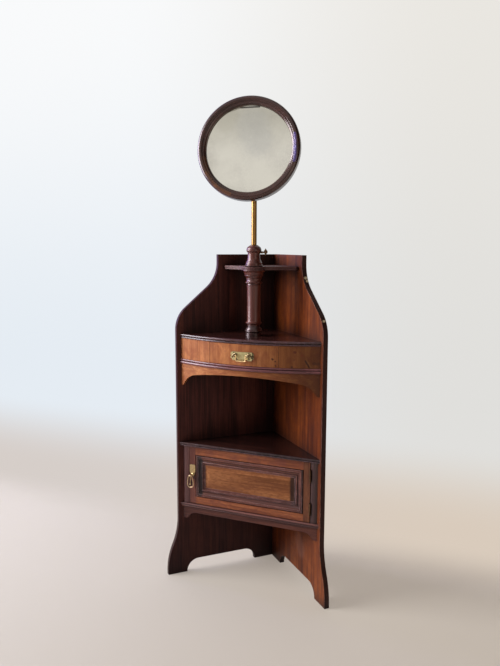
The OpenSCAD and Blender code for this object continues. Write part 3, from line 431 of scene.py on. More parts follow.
def makeWearSheenShade(look):  # worn edges with a painted sheen, and grime with painted shade in the corners
    inputs = [("Vector", "Vector", None), ("Width", "Float", 0.002), ("Reach", "Float", 0.02)]
    group, start, end = newGroup("wornEdgesSheenAndCornerShade", inputs, ("Edge", "GrimeAndShade"))
    rounded = addNode(group, "ShaderNodeBevel", {"samples": look["bevelSamples"]})
    group.links.new(start["Width"], rounded.inputs["Radius"])
    flat = addNode(group, "ShaderNodeNewGeometry").outputs["Normal"]
    bent = addMath(group, "SUBTRACT", 1.0, addVector(group, "DOT_PRODUCT", rounded.outputs[0], flat, "Value"))
    corner = addNode(group, "ShaderNodeAmbientOcclusion", {"samples": look["closedSamples"]})
    group.links.new(start["Reach"], corner.inputs["Distance"])
    free = corner.outputs["AO"]
    patchy = addNoise(group, start["Vector"], **look["patches"])
    edge = addRange(group, bent, *look["bent"])
    edge = addMath(group, "MULTIPLY", edge, addRange(group, free, *look["open"]))
    edge = addMath(group, "MULTIPLY", edge, addRange(group, patchy, *look["patchRange"], look["leastWear"]))
    group.links.new(edge, end["Edge"])
    group.links.new(addRange(group, free, *look["closed"], 1.0, 0.0), end["GrimeAndShade"])
    return group


strokeEdge = {
    "wave": {"scale": 420, "detail": 3, "rough": 0.6},
    "waveHeight": 2.4,
    "soft": (0.45, 1.0),  # shares of the width between which the mark fades out
    "least": 1e-9,  # keeps the division safe where a mark is a spot
}


def makeStroke(look):  # a soft ragged mark along a line from one point to another
    inputs = [("Vector", "Vector", None), ("From", "Vector", None), ("To", "Vector", None),
              ("Width", "Float", 0.002), ("Ragged", "Float", 0.5)]
    group, start, end = newGroup("stroke", inputs, ("Mark",))
    away = addVector(group, "SUBTRACT", start["Vector"], start["From"])
    whole = addVector(group, "SUBTRACT", start["To"], start["From"])
    square = addMath(group, "MAXIMUM", addVector(group, "DOT_PRODUCT", whole, whole, "Value"), look["least"])
    travel = addVector(group, "DOT_PRODUCT", away, whole, "Value")
    share = addMath(group, "DIVIDE", travel, square, clamp=True)
    nearest = addVector(group, "SCALE", whole, share)
    gap = addVector(group, "LENGTH", addVector(group, "SUBTRACT", away, nearest), output="Value")
    gap = addMath(group, "DIVIDE", gap, start["Width"])
    wave = addMath(group, "SUBTRACT", addNoise(group, start["Vector"], **look["wave"]), 0.5)
    ragged = addMath(group, "MULTIPLY", wave, addShare(group, start["Ragged"], look["waveHeight"]))
    gap = addMath(group, "ADD", gap, ragged)
    group.links.new(addRange(group, gap, *look["soft"], 1.0, 0.0), end["Mark"])
    return group


figureGroup = makeFigure(woodFigure)
wearSheenShadeGroup = makeWearSheenShade(wearSheenShade)
strokeGroup = makeStroke(strokeEdge)
commonRagged = 0.5


def addMarks(tree, place, colour, marks):  # a mark runs through its places, or is a spot at its only one
    for mark in marks:
        places = mark["at"]
        for start, finish in zip(places, places[1:] or places):
            values = {"From": start, "To": finish, "Width": mark["width"],
                      "Ragged": mark.get("ragged", commonRagged)}
            stroke = addGroup(tree, strokeGroup, place, values)
            colour = addMix(tree, addShare(tree, stroke["Mark"], mark["share"]), colour, mark["tone"])
    return colour


def tones(dark, mid, light):
    return {"dark": tone(*dark), "mid": tone(*mid), "light": tone(*light)}


grainTurn = {"x": (0, math.pi / 2, 0), "y": (math.pi / 2, 0, 0), "z": (0, 0, 0)}
# near black: grime and painted shade in corners and recesses
grimeAndShadeTone = tone(22, 11, 10)
commonWood = {  # what holds for a wooden piece unless its own values say otherwise
    "edge": 0.0005,  # metres of softened edge
    "grain": "x",
    "cloud": 0.3, "mottle": 0.12, "fleck": 0.12, "pores": 0.45,  # shares of the patterns
    "fades": (), "marks": (),
    "cutRange": (0.3, 0.75), "cutShare": 0.85,  # for the cut edges of a board with a tone of their own
    # pale edges: wear, and a painted sheen where light catches them
    "wearAndSheen": 0.3, "wearAndSheenWidth": 0.0012,
    "grimeAndShade": 0.7, "reach": 0.02,  # metres from a corner that grime and painted shade reach
    "rough": 0.3, "moreRough": 0.1,
    "specular": 0.3, "tint": (1.0, 0.93, 1.0, 1),
    "coat": 0.0, "coatRough": 0.2,
    "bump": 0.2, "bumpDepth": 0.0004, "figureDepth": 0.4,
}


def woodMaterial(name, own):
    ownTones = {"cloudTone": own["dark"], "mottleTone": own["dark"], "wearAndSheenTone": own["light"]}
    look = {**commonWood, **ownTones, **own}
    material, tree, shader = newMaterial(name)
    place = addPlace(tree)
    turn = {"Rotation": grainTurn[look["grain"]]}
    turned = addNode(tree, "ShaderNodeMapping", {"vector_type": "TEXTURE"}, turn)
    tree.links.new(place, turned.inputs["Vector"])
    figure = addGroup(tree, figureGroup, turned.outputs[0], {"Seed": look["seed"]})
    wearAndSheen = addGroup(tree, wearSheenShadeGroup, place, {"Width": look["wearAndSheenWidth"], "Reach": look["reach"]})
    ramp = addNode(tree, "ShaderNodeValToRGB")
    ramp.color_ramp.elements[0].color = look["dark"]
    ramp.color_ramp.elements[1].color = look["light"]
    ramp.color_ramp.elements.new(0.5).color = look["mid"]
    tree.links.new(figure["Figure"], ramp.inputs["Fac"])
    colour = ramp.outputs["Color"]
    maskTones = {"Cloud": look["cloudTone"], "Mottle": look["mottleTone"], "Fleck": look["dark"],
                 "Pores": look["dark"]}
    for mask, maskTone in maskTones.items():
        colour = addMix(tree, addShare(tree, figure[mask], look[mask.lower()]), colour, maskTone)
    split = addSplit(tree, place)
    for fade in look["fades"]:  # a slow change of tone across the piece
        far = addRange(tree, split[fade["axis"]], fade["from"], fade["to"])
        colour = addMix(tree, far, colour, fade["tone"], "MULTIPLY")
    if "edgeTone" in look:  # the cut edges of a board, darker than its faces
        normal = addNode(tree, "ShaderNodeNewGeometry").outputs["Normal"]
        flat = addMath(tree, "ABSOLUTE", addVector(tree, "DOT_PRODUCT", normal, look["face"], "Value"))
        cut = addRange(tree, flat, *look["cutRange"], look["cutShare"], 0.0)
        colour = addMix(tree, cut, colour, look["edgeTone"])
    colour = addMarks(tree, place, colour, look["marks"])
    # corners and recesses darken with grime and painted shade; edges turn pale with wear and a painted sheen
    colour = addMix(tree, addShare(tree, wearAndSheen["GrimeAndShade"], look["grimeAndShade"]), colour, grimeAndShadeTone)
    colour = addMix(tree, addShare(tree, wearAndSheen["Edge"], look["wearAndSheen"]), colour, look["wearAndSheenTone"])
    tree.links.new(colour, shader.inputs["Base Color"])
    dull = addMath(tree, "ADD", addShare(tree, figure["Cloud"], look["moreRough"]),
                   addShare(tree, wearAndSheen["Edge"], look["moreRough"]))
    tree.links.new(addMath(tree, "ADD", dull, look["rough"]), shader.inputs["Roughness"])
    shader.inputs["Specular IOR Level"].default_value = look["specular"]
    shader.inputs["Specular Tint"].default_value = look["tint"]
    shader.inputs["Coat Weight"].default_value = look["coat"]
    shader.inputs["Coat Roughness"].default_value = look["coatRough"]
    height = addMath(tree, "SUBTRACT", addShare(tree, figure["Figure"], look["figureDepth"]), figure["Pores"])
    addBump(tree, height, look["bump"], look["bumpDepth"], shader)
    return material


commonMetal = {"grimeAndShade": 0.8, "reach": 0.006, "wearAndSheen": 0.5, "wearAndSheenWidth": 0.0008, "moreRough": 0.16,
               "scale": 120.0, "detail": 4, "patchy": 0.65, "patchRange": (0.38, 0.66), "stretch": (1, 1, 1),
               "marks": (), "bump": 0.2, "bumpDepth": 0.0003}


def metalMaterial(name, own):
    look = {**commonMetal, **own}
    material, tree, shader = newMaterial(name)
    shader.inputs["Metallic"].default_value = 1.0
    place = addPlace(tree)
    wearAndSheen = addGroup(tree, wearSheenShadeGroup, place, {"Width": look["wearAndSheenWidth"], "Reach": look["reach"]})
    stretch = addNode(tree, "ShaderNodeMapping", None, {"Scale": look["stretch"]})
    tree.links.new(place, stretch.inputs["Vector"])
    cloud = addNoise(tree, stretch.outputs[0], look["scale"], look["detail"], look["patchy"])
    patch = addRange(tree, cloud, *look["patchRange"])
    colour = addMix(tree, addShare(tree, patch, look["tarnish"]), look["bright"], look["dull"])
    colour = addMarks(tree, place, colour, look["marks"])
    # darker in the hollows: tarnish and painted shade
    colour = addMix(tree, addShare(tree, wearAndSheen["GrimeAndShade"], look["grimeAndShade"]), colour, look["dirtAndShade"])
    colour = addMix(tree, addShare(tree, wearAndSheen["Edge"], look["wearAndSheen"]), colour, look["bright"])
    tree.links.new(colour, shader.inputs["Base Color"])
    rough = addMath(tree, "ADD", addShare(tree, patch, look["moreRough"]), look["rough"])
    tree.links.new(rough, shader.inputs["Roughness"])
    addBump(tree, cloud, look["bump"], look["bumpDepth"], shader)
    return material


dressing = {"merge": 2e-6, "flatAngle": 0.4, "sharpAngle": 32, "edgeAngle": 40, "edgeSteps": 2}


def dress(nodeName, material, edge=0.0):  # a finer copy of a piece takes its place
    source = nodes[nodeName]
    mesh = source.data.copy()
    mesh.name = nodeName + "Dressed"
    work = bmesh.new()
    work.from_mesh(mesh)
    bmesh.ops.remove_doubles(work, verts=work.verts, dist=dressing["merge"])
    flatAngle = math.radians(dressing["flatAngle"])
    bmesh.ops.dissolve_limit(work, angle_limit=flatAngle, verts=work.verts, edges=work.edges)
    for face in work.faces:
        face.smooth = True
    work.to_mesh(mesh)
    work.free()
    if "custom_normal" in mesh.attributes:
        mesh.attributes.remove(mesh.attributes["custom_normal"])
    mesh.set_sharp_from_angle(angle=math.radians(dressing["sharpAngle"]))
    mesh.materials.clear()
    mesh.materials.append(material)
    piece = newObject(nodeName + "Dressed", mesh)
    if edge:
        bevel = piece.modifiers.new("softEdges", "BEVEL")
        bevel.width = edge
        bevel.segments = dressing["edgeSteps"]
        bevel.limit_method = "ANGLE"
        bevel.angle_limit = math.radians(dressing["edgeAngle"])
        bevel.harden_normals = True
        bevel.use_clamp_overlap = True
    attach(piece, source["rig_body"])
    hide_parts(nodeName)


stand = {  # metres, the sizes that place a mark on a surface
    "panelWidth": 0.33, "panelThick": 0.015,
    "bowSet": 0.0097, "bowSag": 0.0465, "friezeSet": 0.0045, "handleOut": 0.015,
    "lowerSet": 0.0047, "cupboardSet": 0.008,
    "columnOut": 0.1775, "pivotHeight": 1.317, "pivotOut": 0.036, "mirrorShift": 0.006,
    "mirrorTurn": 11, "mirrorLean": 8.5,  # degrees
}
slant = math.sqrt(0.5)
leftFace = (slant, -slant, 0.0)
rightFace = (-slant, -slant, 0.0)
bowHalf = slant * (stand["panelWidth"] - stand["bowSet"])
bowRadius = (bowHalf ** 2 + stand["bowSag"] ** 2) / (2 * stand["bowSag"])
friezeRadius = bowRadius - stand["friezeSet"]
friezeOut = bowHalf + stand["bowSag"] - stand["friezeSet"]
corner = (friezeOut + stand["handleOut"] - stand["panelThick"] / slant) / 2
doorFace = corner - slant * (stand["panelWidth"] - stand["lowerSet"]) + stand["cupboardSet"]
mirrorPlace = (Matrix.Translation((0, corner - stand["columnOut"], stand["pivotHeight"]))
               @ Matrix.Rotation(math.radians(stand["mirrorTurn"]), 4, "Z")
               @ Matrix.Rotation(math.radians(90 - stand["mirrorLean"]), 4, "X")
               @ Matrix.Translation((-stand["mirrorShift"], 0, stand["pivotOut"])))


def onBow(across, height, out=0.0):
    centre = corner - friezeOut + friezeRadius
    return (across, centre - math.sqrt(friezeRadius ** 2 - across ** 2) - out, height)


def onRightPanel(along, height, depth=0.0):  # along the board, from the corner
    return (slant * (along + depth), corner - slant * (along - depth), height)


def onDoor(across, height, depth=0.0):
    return (across, doorFace + depth, height)


def onMirror(across, up, depth):
    return tuple(mirrorPlace @ Vector((across, up, depth)))


def onRing(degrees, radius, depth):
    angle = math.radians(degrees)
    return onMirror(radius * math.cos(angle), radius * math.sin(angle), depth)


def laid(surface, marks, *more):  # marks whose places are given on a surface
    return [{**mark, "at": [surface(*place, *more) for place in mark["at"]]} for mark in marks]


knotTone = tone(44, 20, 14)
bowMarks = laid(onBow, [
    {"at": [(0.0906, 0.7312), (0.0922, 0.7292)], "width": 0.0036, "tone": knotTone, "share": 0.9},
    {"at": [(0.0996, 0.7241)], "width": 0.0030, "tone": knotTone, "share": 0.85},
    {"at": [(0.1005, 0.7135), (0.1008, 0.7100)], "width": 0.0030, "tone": knotTone, "share": 0.7},
    {"at": [(0.1530, 0.7527), (0.1555, 0.7522)], "width": 0.0044, "tone": tone(74, 28, 18), "share": 0.8},
    {"at": [(0.1732, 0.7434)], "width": 0.0042, "tone": tone(112, 44, 26), "share": 0.5},
    {"at": [(0.1521, 0.7303)], "width": 0.0034, "tone": tone(60, 28, 16), "share": 0.45},
    {"at": [(0.1463, 0.7095)], "width": 0.0036, "tone": knotTone, "share": 0.8},
    {"at": [(0.1825, 0.7283), (0.1930, 0.7099)], "width": 0.0026, "tone": tone(34, 18, 10), "share": 0.9},
    {"at": [(0.1868, 0.7298), (0.1983, 0.7100)], "width": 0.0015, "tone": tone(140, 102, 62), "share": 0.4},
    {"at": [(0.2050, 0.7205), (0.2180, 0.7200)], "width": 0.0055, "tone": tone(44, 22, 13), "share": 0.5},
    {"at": [(-0.0784, 0.7581)], "width": 0.0036, "tone": tone(120, 58, 40), "share": 0.45},
    {"at": [(-0.0545, 0.7452)], "width": 0.0050, "tone": tone(140, 78, 64), "share": 0.3},
    {"at": [(0.0489, 0.7485)], "width": 0.0034, "tone": tone(92, 52, 26), "share": 0.35},
])
chip = {"width": 0.0056, "tone": tone(236, 214, 172), "share": 0.95, "ragged": 0.25}
rubbedAndLitArris = {"width": 0.0020, "tone": tone(190, 146, 134), "share": 0.75}
panelMarks = laid(onRightPanel, [  # chips through the board's front edge, its rubbed arris with a painted highlight, and a pale patch
    {**chip, "at": [(0.2175, 0.9592), (0.1890, 0.9575, 0.015)]},
    {**chip, "at": [(0.2291, 0.9510), (0.2008, 0.9492, 0.015)]},
    {**chip, "at": [(0.3307, 0.8439), (0.3042, 0.8403, 0.015)], "width": 0.0052, "share": 0.9},
    {**rubbedAndLitArris, "at": [(0.2392, 0.9428), (0.2624, 0.9068)], "share": 0.6},
    {**rubbedAndLitArris, "at": [(0.2624, 0.9068), (0.2908, 0.8776), (0.3161, 0.8530)]},
    {"at": [(0.1953, 0.1400), (0.2122, 0.1150)], "width": 0.0340, "tone": tone(150, 104, 88), "share": 0.2,
     "ragged": 0.3},
])
coveShadowTone = tone(18, 9, 8)
mouldingShadowMarks = laid(onDoor, [  # painted shadow deep in the upright coves
    {"at": [(-0.1635, 0.2740, 0.0024), (-0.1635, 0.3890, 0.0024)], "width": 0.0135, "tone": coveShadowTone,
     "share": 0.92, "ragged": 0.06},
    {"at": [(0.1456, 0.2873, 0.0059), (0.1456, 0.3690, 0.0059)], "width": 0.0090, "tone": coveShadowTone,
     "share": 0.8, "ragged": 0.1},
    {"at": [(0.1763, 0.2665, 0.0004), (0.1745, 0.3965, -0.0001)], "width": 0.0050, "tone": coveShadowTone,
     "share": 0.95, "ragged": 0.1},
])
fieldShadeMarks = laid(onDoor, [  # painted shade along the upright edges of the field
    {"at": [(-0.1514, 0.3621, 0.0110), (-0.1520, 0.2847, 0.0110)], "width": 0.0085, "tone": tone(92, 52, 40),
     "share": 0.85, "ragged": 0.15},
    {"at": [(0.1420, 0.3740, 0.0075), (0.1426, 0.2870, 0.0076)], "width": 0.0115, "tone": tone(34, 18, 12),
     "share": 0.88, "ragged": 0.15},
])
stileShadowMarks = laid(onDoor, [  # painted shadow that the drop casts on the stile
    {"at": [(-0.1932, 0.3122), (-0.1930, 0.3003)], "width": 0.0050, "tone": tone(24, 14, 10), "share": 0.9},
    {"at": [(-0.1849, 0.3345), (-0.1828, 0.3249)], "width": 0.0060, "tone": tone(20, 12, 8), "share": 0.85},
    {"at": [(-0.1786, 0.3209), (-0.1771, 0.2948)], "width": 0.0048, "tone": tone(48, 34, 24), "share": 0.7},
    {"at": [(-0.2084, 0.3233), (-0.2101, 0.2998)], "width": 0.0030, "tone": tone(48, 28, 24), "share": 0.5},
])
frameReflectionMarks = laid(onRing, [  # painted reflections in the polish of the inner band: violet on the right, gold on the lower left
    {"at": [(14.2, 0.1343, 0.0330), (-1.1, 0.1329, 0.0300), (-16.1, 0.1385, 0.0340)], "width": 0.0075,
     "tone": tone(92, 82, 168), "share": 0.55, "ragged": 0.1},
    {"at": [(-168.2, 0.1313, 0.0293), (-148.1, 0.1346, 0.0332), (-129.8, 0.1378, 0.0340),
            (-110.8, 0.1395, 0.0340)],
     "width": 0.0085, "tone": tone(140, 88, 44), "share": 0.3, "ragged": 0.2},
])

bowWood = {
    "slot": "honey_mahogany", "edge": 0.0004, "grain": "z", "seed": 11.0,
    **tones((150, 88, 50), (188, 118, 72), (208, 140, 90)), "cloud": 0.5, "cloudTone": tone(148, 90, 40),
    "mottle": 0.5, "mottleTone": tone(126, 60, 36), "fleck": 0.3, "pores": 0.35,
    # darker towards the right: painted shade
    "fades": [{"axis": "X", "from": -0.06, "to": 0.24, "tone": tone(158, 146, 118)}],
}
# the turned parts' pink edge tone is wear and painted highlight together
turnedWood = {
    "slot": "red_mahogany", "edge": 0.0003, "grain": "z", "wearAndSheen": 0.35, "wearAndSheenTone": tone(150, 104, 104),
    "tint": (1.0, 0.8, 0.84, 1), "coat": 0.12, "rough": 0.28, "bump": 0.05, "pores": 0.2,
}
railWood = {
    "slot": "honey_mahogany", **tones((98, 50, 30), (154, 87, 54), (184, 112, 70)),
    "fleck": 0.35, "cloud": 0.4, "mottle": 0.5, "mottleTone": tone(104, 54, 48),
}
glossyWood = {"slot": "dark_mahogany", "specular": 0.45, "coat": 0.2}

# the lilac and pink edge tones of the shelves, boards, mouldings and frame below are wear and painted
# highlight together, and the door moulding's strong grime paints shade into its coves
woodLooks = {
    "left_panel": {
        "slot": "dark_mahogany", "edge": 0.0012, "grain": "z", "seed": 1.0,
        **tones((50, 23, 20), (86, 44, 38), (108, 58, 47)), "face": leftFace, "edgeTone": tone(46, 26, 24),
        # its wide reach paints shade into the corner, and it turns darker towards the bottom: painted shade
        "rough": 0.42, "specular": 0.16, "reach": 0.11, "grimeAndShade": 0.85,
        "fades": [{"axis": "Z", "from": 0.3, "to": 0.12, "tone": tone(190, 190, 190)}]},
    "right_panel": {
        "slot": "red_mahogany", "edge": 0.0012, "grain": "z", "seed": 4.0, "marks": panelMarks,
        **tones((62, 24, 11), (107, 48, 16), (140, 70, 25)), "face": rightFace, "edgeTone": tone(40, 22, 20),
        "mottle": 0.3, "cloud": 0.4, "rough": 0.4, "specular": 0.2, "reach": 0.06, "grimeAndShade": 0.8,
        # pale edges: wear and a painted highlight along the lit arris
        "wearAndSheenTone": tone(186, 136, 122), "wearAndSheen": 0.75, "wearAndSheenWidth": 0.003},
    "bow_shelf": {
        "slot": "dark_mahogany", "edge": 0.0006, "seed": 7.0,
        **tones((40, 20, 18), (64, 33, 29), (90, 48, 40)),
        "rough": 0.16, "specular": 0.5, "coat": 0.25, "grimeAndShade": 0.45,
        "wearAndSheenTone": tone(156, 120, 146), "wearAndSheen": 0.85, "wearAndSheenWidth": 0.005},
    "frieze_left": bowWood,
    "frieze_right": {**bowWood, "marks": bowMarks},
    "drawer_board": {
        "slot": "red_mahogany", "seed": 15.0, **tones((78, 38, 40), (116, 62, 64), (148, 88, 90)),
        "specular": 0.5, "coat": 0.3, "wearAndSheenTone": tone(186, 140, 160), "wearAndSheen": 0.6},
    "bow_apron": {**bowWood, "edge": 0.0005, "grain": "x", "seed": 19.0, "mid": tone(166, 102, 64)},
    "bracket_shelf": {
        "slot": "red_mahogany", "edge": 0.0006, "seed": 23.0,
        **tones((56, 32, 31), (84, 51, 48), (108, 70, 64)),
        "tint": (1.0, 0.82, 0.86, 1), "rough": 0.38, "wearAndSheen": 0.5, "wearAndSheenTone": tone(150, 114, 120),
        "bump": 0.05, "pores": 0.15},
    "column_shaft": {
        **turnedWood, "seed": 27.0, **tones((56, 22, 16), (92, 40, 28), (120, 57, 39)), "specular": 0.7,
        "fades": [{"axis": "Z", "from": 0.822, "to": 0.812, "tone": tone(128, 124, 150)}]},
    "column_head": {
        **turnedWood, "seed": 31.0, **tones((54, 23, 18), (87, 40, 31), (111, 56, 41)), "specular": 0.6},
    "lower_shelf": {
        **glossyWood, "edge": 0.0006, "seed": 35.0, **tones((28, 14, 13), (46, 24, 21), (68, 37, 31)),
        "rough": 0.16, "reach": 0.05, "grimeAndShade": 0.6, "wearAndSheenTone": tone(150, 112, 124), "wearAndSheen": 0.85,
        "wearAndSheenWidth": 0.005},
    "cupboard_post_left": {
        **glossyWood, "edge": 0.0004, "grain": "z", "seed": 39.0,
        **tones((76, 43, 41), (108, 64, 60), (133, 84, 78))},
    # darker tones than the left post: painted shade
    "cupboard_post_right": {
        **glossyWood, "edge": 0.0004, "grain": "z", "seed": 43.0,
        **tones((38, 21, 20), (58, 33, 31), (80, 48, 44))},
    "cupboard_floor": {
        **glossyWood, "edge": 0.0006, "seed": 47.0, **tones((64, 34, 32), (96, 55, 50), (126, 78, 69)),
        "wearAndSheenTone": tone(160, 118, 126), "wearAndSheen": 0.5},
    "cupboard_apron": {
        "slot": "dark_mahogany", "edge": 0.0006, "seed": 51.0,
        **tones((54, 28, 24), (84, 46, 38), (108, 62, 48))},
    "drawer_front": {**bowWood, "edge": 0.0005, "marks": bowMarks},
    "door_stile_left": {
        "slot": "red_mahogany", "grain": "z", "seed": 59.0, "marks": stileShadowMarks,
        **tones((80, 41, 34), (112, 65, 54), (140, 86, 71)), "fleck": 0.3},
    "door_stile_right": {
        "slot": "honey_mahogany", "grain": "z", "seed": 63.0,
        **tones((70, 37, 22), (106, 61, 39), (133, 82, 54)), "fleck": 0.3},
    "door_rail_top": {**railWood, "seed": 67.0},
    "door_rail_bottom": {**railWood, "seed": 71.0},
    "door_panel": {
        "slot": "honey_mahogany", "edge": 0.0004, "seed": 75.0, "marks": fieldShadeMarks,
        **tones((116, 66, 36), (158, 98, 57), (186, 123, 74)), "fleck": 0.6, "cloud": 0.2, "mottle": 0.25},
    "door_moulding": {
        "slot": "red_mahogany", "edge": 0.0, "seed": 79.0, "marks": mouldingShadowMarks,
        **tones((50, 23, 18), (88, 45, 35), (122, 71, 56)), "specular": 0.4, "coat": 0.1, "reach": 0.014,
        "grimeAndShade": 1.0, "bump": 0.08, "wearAndSheenTone": tone(190, 142, 142), "wearAndSheen": 0.9, "wearAndSheenWidth": 0.004},
    "mirror_frame": {
        "slot": "dark_mahogany", "edge": 0.0004, "seed": 83.0, "marks": frameReflectionMarks,
        **tones((34, 16, 13), (56, 28, 22), (76, 41, 32)), "specular": 0.7, "tint": (1.0, 0.82, 0.84, 1),
        "coat": 0.25, "coatRough": 0.12, "rough": 0.24, "bump": 0.0, "wearAndSheenTone": tone(146, 116, 108),
        "pores": 0.12},
}
for nodeName, look in woodLooks.items():
    edge = look.get("edge", commonWood["edge"])
    dress(nodeName, woodMaterial(nodeName + "Wood", look), edge)

neckBeads = {
    "rings": [  # metres
        {"radius": 0.0264, "half": 0.0013, "height": 0.9650},
        {"radius": 0.0224, "half": 0.0013, "height": 0.9554},
    ],
    "sides": 64,
    "roundSides": 10,
    "merge": 1e-6,
}


def makeBeads(look, material):  # two thin rings turned on the column's neck
    mesh = bpy.data.meshes.new("neckBeads")
    work = bmesh.new()
    centre = (0, 0, 0)
    for ring in look["rings"]:
        circle = bmesh.ops.create_circle(work, segments=look["roundSides"], radius=ring["half"])["verts"]
        bmesh.ops.rotate(work, verts=circle, cent=centre, matrix=Matrix.Rotation(math.pi / 2, 3, "X"))
        bmesh.ops.translate(work, verts=circle, vec=(ring["radius"], 0, ring["height"]))
    bmesh.ops.spin(work, geom=work.verts[:] + work.edges[:], cent=centre, axis=(0, 0, 1), dvec=(0, 0, 0),
                   angle=2 * math.pi, steps=look["sides"], use_merge=True)
    bmesh.ops.remove_doubles(work, verts=work.verts, dist=look["merge"])
    bmesh.ops.recalc_face_normals(work, faces=work.faces)
    work.verts.index_update()
    work.faces.sort(key=lambda face: face.verts[0].index)  # the same order in each run
    for face in work.faces:
        face.smooth = True
    bmesh.ops.translate(work, verts=work.verts, vec=(0, corner - stand["columnOut"], 0))
    work.to_mesh(mesh)
    work.free()
    mesh.materials.append(material)
    piece = newObject("neckBeads", mesh)
    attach(piece, nodes["column_shaft"]["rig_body"])


makeBeads(neckBeads, bpy.data.materials["column_shaftWood"])

innerWood = {"slot": "inner_softwood", "edge": 0.0006, "seed": 3.0, "rough": 0.6, "specular": 0.2,
             **tones((112, 74, 44), (150, 106, 66), (176, 132, 88))}
innerPieces = {  # by the way that the grain runs
    "x": ["drawer_stop", "drawer_back", "drawer_bottom"],
    "y": ["drawer_side_left", "drawer_side_right", "drawer_guide_left", "drawer_guide_right"],
    "z": ["door_stop", "mirror_back"],
}
for grain, names in innerPieces.items():
    material = woodMaterial("innerWood" + grain.upper(), {**innerWood, "grain": grain})
    for nodeName in names:
        dress(nodeName, material, innerWood["edge"])
print("woodwork dressed")

plateShadow = {"width": 0.0026, "tone": tone(38, 30, 20), "share": 0.9}
plateOut = 0.0014  # metres from the bow to the handle's plate
plateShadowMarks = laid(onBow, [  # painted shadows round the posts of the drawer's handle
    {**plateShadow, "at": [(-0.0255, 0.7434), (-0.0242, 0.7329)]},
    {**plateShadow, "at": [(-0.0242, 0.7347), (-0.0164, 0.7258)]},
    {**plateShadow, "at": [(0.0222, 0.7437), (0.0225, 0.7255)]},
    {**plateShadow, "at": [(0.0335, 0.7444), (0.0335, 0.7280)]},
    {**plateShadow, "at": [(0.0237, 0.7350), (0.0329, 0.7356)]},
], plateOut)
metalLooks = {
    # the dark hollows of old brass are dirt and painted shade
    "old_brass": {
        "bright": tone(214, 190, 142), "dull": tone(150, 122, 80), "dirtAndShade": tone(34, 24, 16),
        "rough": 0.3, "tarnish": 0.6, "grimeAndShade": 1.0, "reach": 0.009},
    "polished_brass": {
        "bright": tone(152, 117, 70), "dull": tone(92, 66, 32), "dirtAndShade": tone(46, 30, 14),
        "rough": 0.28, "tarnish": 0.4, "scale": 90.0, "stretch": (1, 1, 0.15)},
    "dark_bronze": {
        "bright": tone(112, 88, 66), "dull": tone(62, 44, 34), "dirtAndShade": tone(30, 20, 17),
        "rough": 0.38, "tarnish": 0.8},
    "steel": {
        "bright": tone(170, 168, 164), "dull": tone(110, 106, 102), "dirtAndShade": tone(50, 44, 40),
        "rough": 0.4, "tarnish": 0.5},
}
metalPieces = {
    "old_brass": [
        "corner_screws", "catch_plate", "drawer_plate", "drawer_posts", "handle_nuts", "drawer_bail",
        "ball_catch", "drop_plate", "drop_post", "drop_loop", "mirror_bracket", "bracket_screws",
        "pivot_bolt", "pivot_nut"],
    "polished_brass": ["mirror_rod", "rod_bush", "screw_insert", "rod_collar"],
    "dark_bronze": [
        "thumb_screw", "post_hinge_leaves", "hinge_pins", "post_hinge_screws", "door_hinge_leaves",
        "door_hinge_screws"],
    "steel": ["back_brads"],
}
ownLooks = {  # pieces whose brass has aged apart from the rest, and the drawer's posts, darker with painted shade
    "drawer_plate": {"bright": tone(214, 202, 152), "dull": tone(164, 146, 98), "marks": plateShadowMarks},
    # the posts' darker brass is painted shade
    "drawer_posts": {"bright": tone(168, 150, 116), "dull": tone(84, 66, 44)},
    "drawer_bail": {"bright": tone(236, 204, 152), "dull": tone(196, 152, 98)},
    "drop_plate": {"bright": tone(206, 180, 136), "dull": tone(134, 108, 74), "scale": 260.0},
    "drop_loop": {"bright": tone(212, 184, 150), "dull": tone(156, 124, 92)},
}
plateEdges = {"drawer_plate": 0.0002, "drop_plate": 0.0002, "mirror_bracket": 0.0002}  # metres, softened
for slotName, names in metalPieces.items():
    material = metalMaterial(slotName, metalLooks[slotName])
    for nodeName in names:
        finish = material
        if nodeName in ownLooks:
            finish = metalMaterial(nodeName + "Brass", {**metalLooks[slotName], **ownLooks[nodeName]})
        dress(nodeName, finish, plateEdges.get(nodeName, 0.0))
print("metalwork dressed")

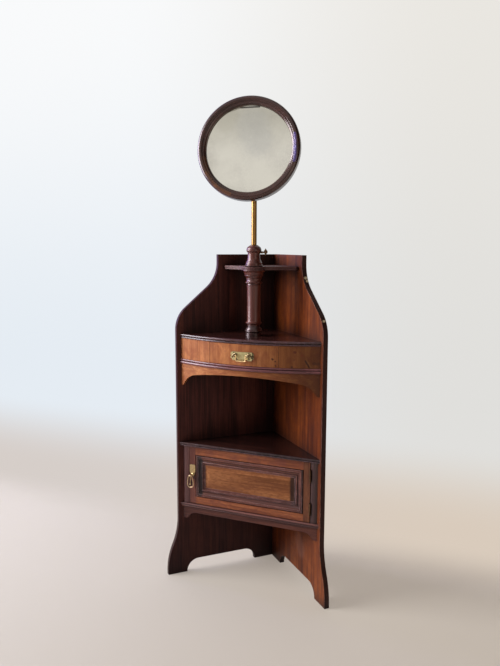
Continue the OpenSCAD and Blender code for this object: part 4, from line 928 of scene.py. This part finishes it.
glassLook = {
    "silver": tone(246, 243, 236),
    "haze": tone(196, 192, 184),
    "hazeNoise": {"scale": 9.0, "detail": 5, "rough": 0.6},
    "hazeRange": (0.35, 0.68),
    "hazeTint": 0.22,
    "hazeShare": 0.2,  # how much less it mirrors where it is hazy
    "hazeRough": 0.1,
    "rough": 0.05,
    "topTone": tone(222, 221, 217),
    "topFade": (1.3, 1.43),  # metres up
    "marks": laid(onMirror, [  # a dark line along the top, lost silver and a painted shadow of the frame, and two wide dim places
        {"at": [(-0.0265, 0.1177, 0.0171), (0.0269, 0.1185, 0.0171)], "width": 0.0034,
         "tone": tone(52, 42, 38), "share": 0.9, "ragged": 0.2},
        {"at": [(-0.0626, 0.1071, 0.0170), (-0.0265, 0.1177, 0.0171)], "width": 0.0030,
         "tone": tone(96, 84, 70), "share": 0.6, "ragged": 0.3},
        {"at": [(0.0072, 0.0707, 0.0188), (0.0222, 0.0256, 0.0160)], "width": 0.0600,
         "tone": tone(196, 200, 206), "share": 0.22},
        {"at": [(-0.0717, 0.0697, 0.0170), (-0.0526, 0.0961, 0.0180)], "width": 0.0300,
         "tone": tone(190, 186, 172), "share": 0.2},
    ]),
}


def glassMaterial(look):
    material, tree, shader = newMaterial("silveredGlass")
    place = addPlace(tree)
    patch = addRange(tree, addNoise(tree, place, **look["hazeNoise"]), *look["hazeRange"])
    colour = addMix(tree, addShare(tree, patch, look["hazeTint"]), look["silver"], look["haze"])
    high = addRange(tree, addSplit(tree, place)["Z"], *look["topFade"])
    colour = addMix(tree, high, colour, look["topTone"], "MULTIPLY")
    colour = addMarks(tree, place, colour, look["marks"])
    tree.links.new(colour, shader.inputs["Base Color"])
    metal = addMath(tree, "SUBTRACT", 1.0, addShare(tree, patch, look["hazeShare"]))
    tree.links.new(metal, shader.inputs["Metallic"])
    rough = addMath(tree, "ADD", addShare(tree, patch, look["hazeRough"]), look["rough"])
    tree.links.new(rough, shader.inputs["Roughness"])
    return material


dress("mirror_glass", glassMaterial(glassLook))
print("mirror dressed")
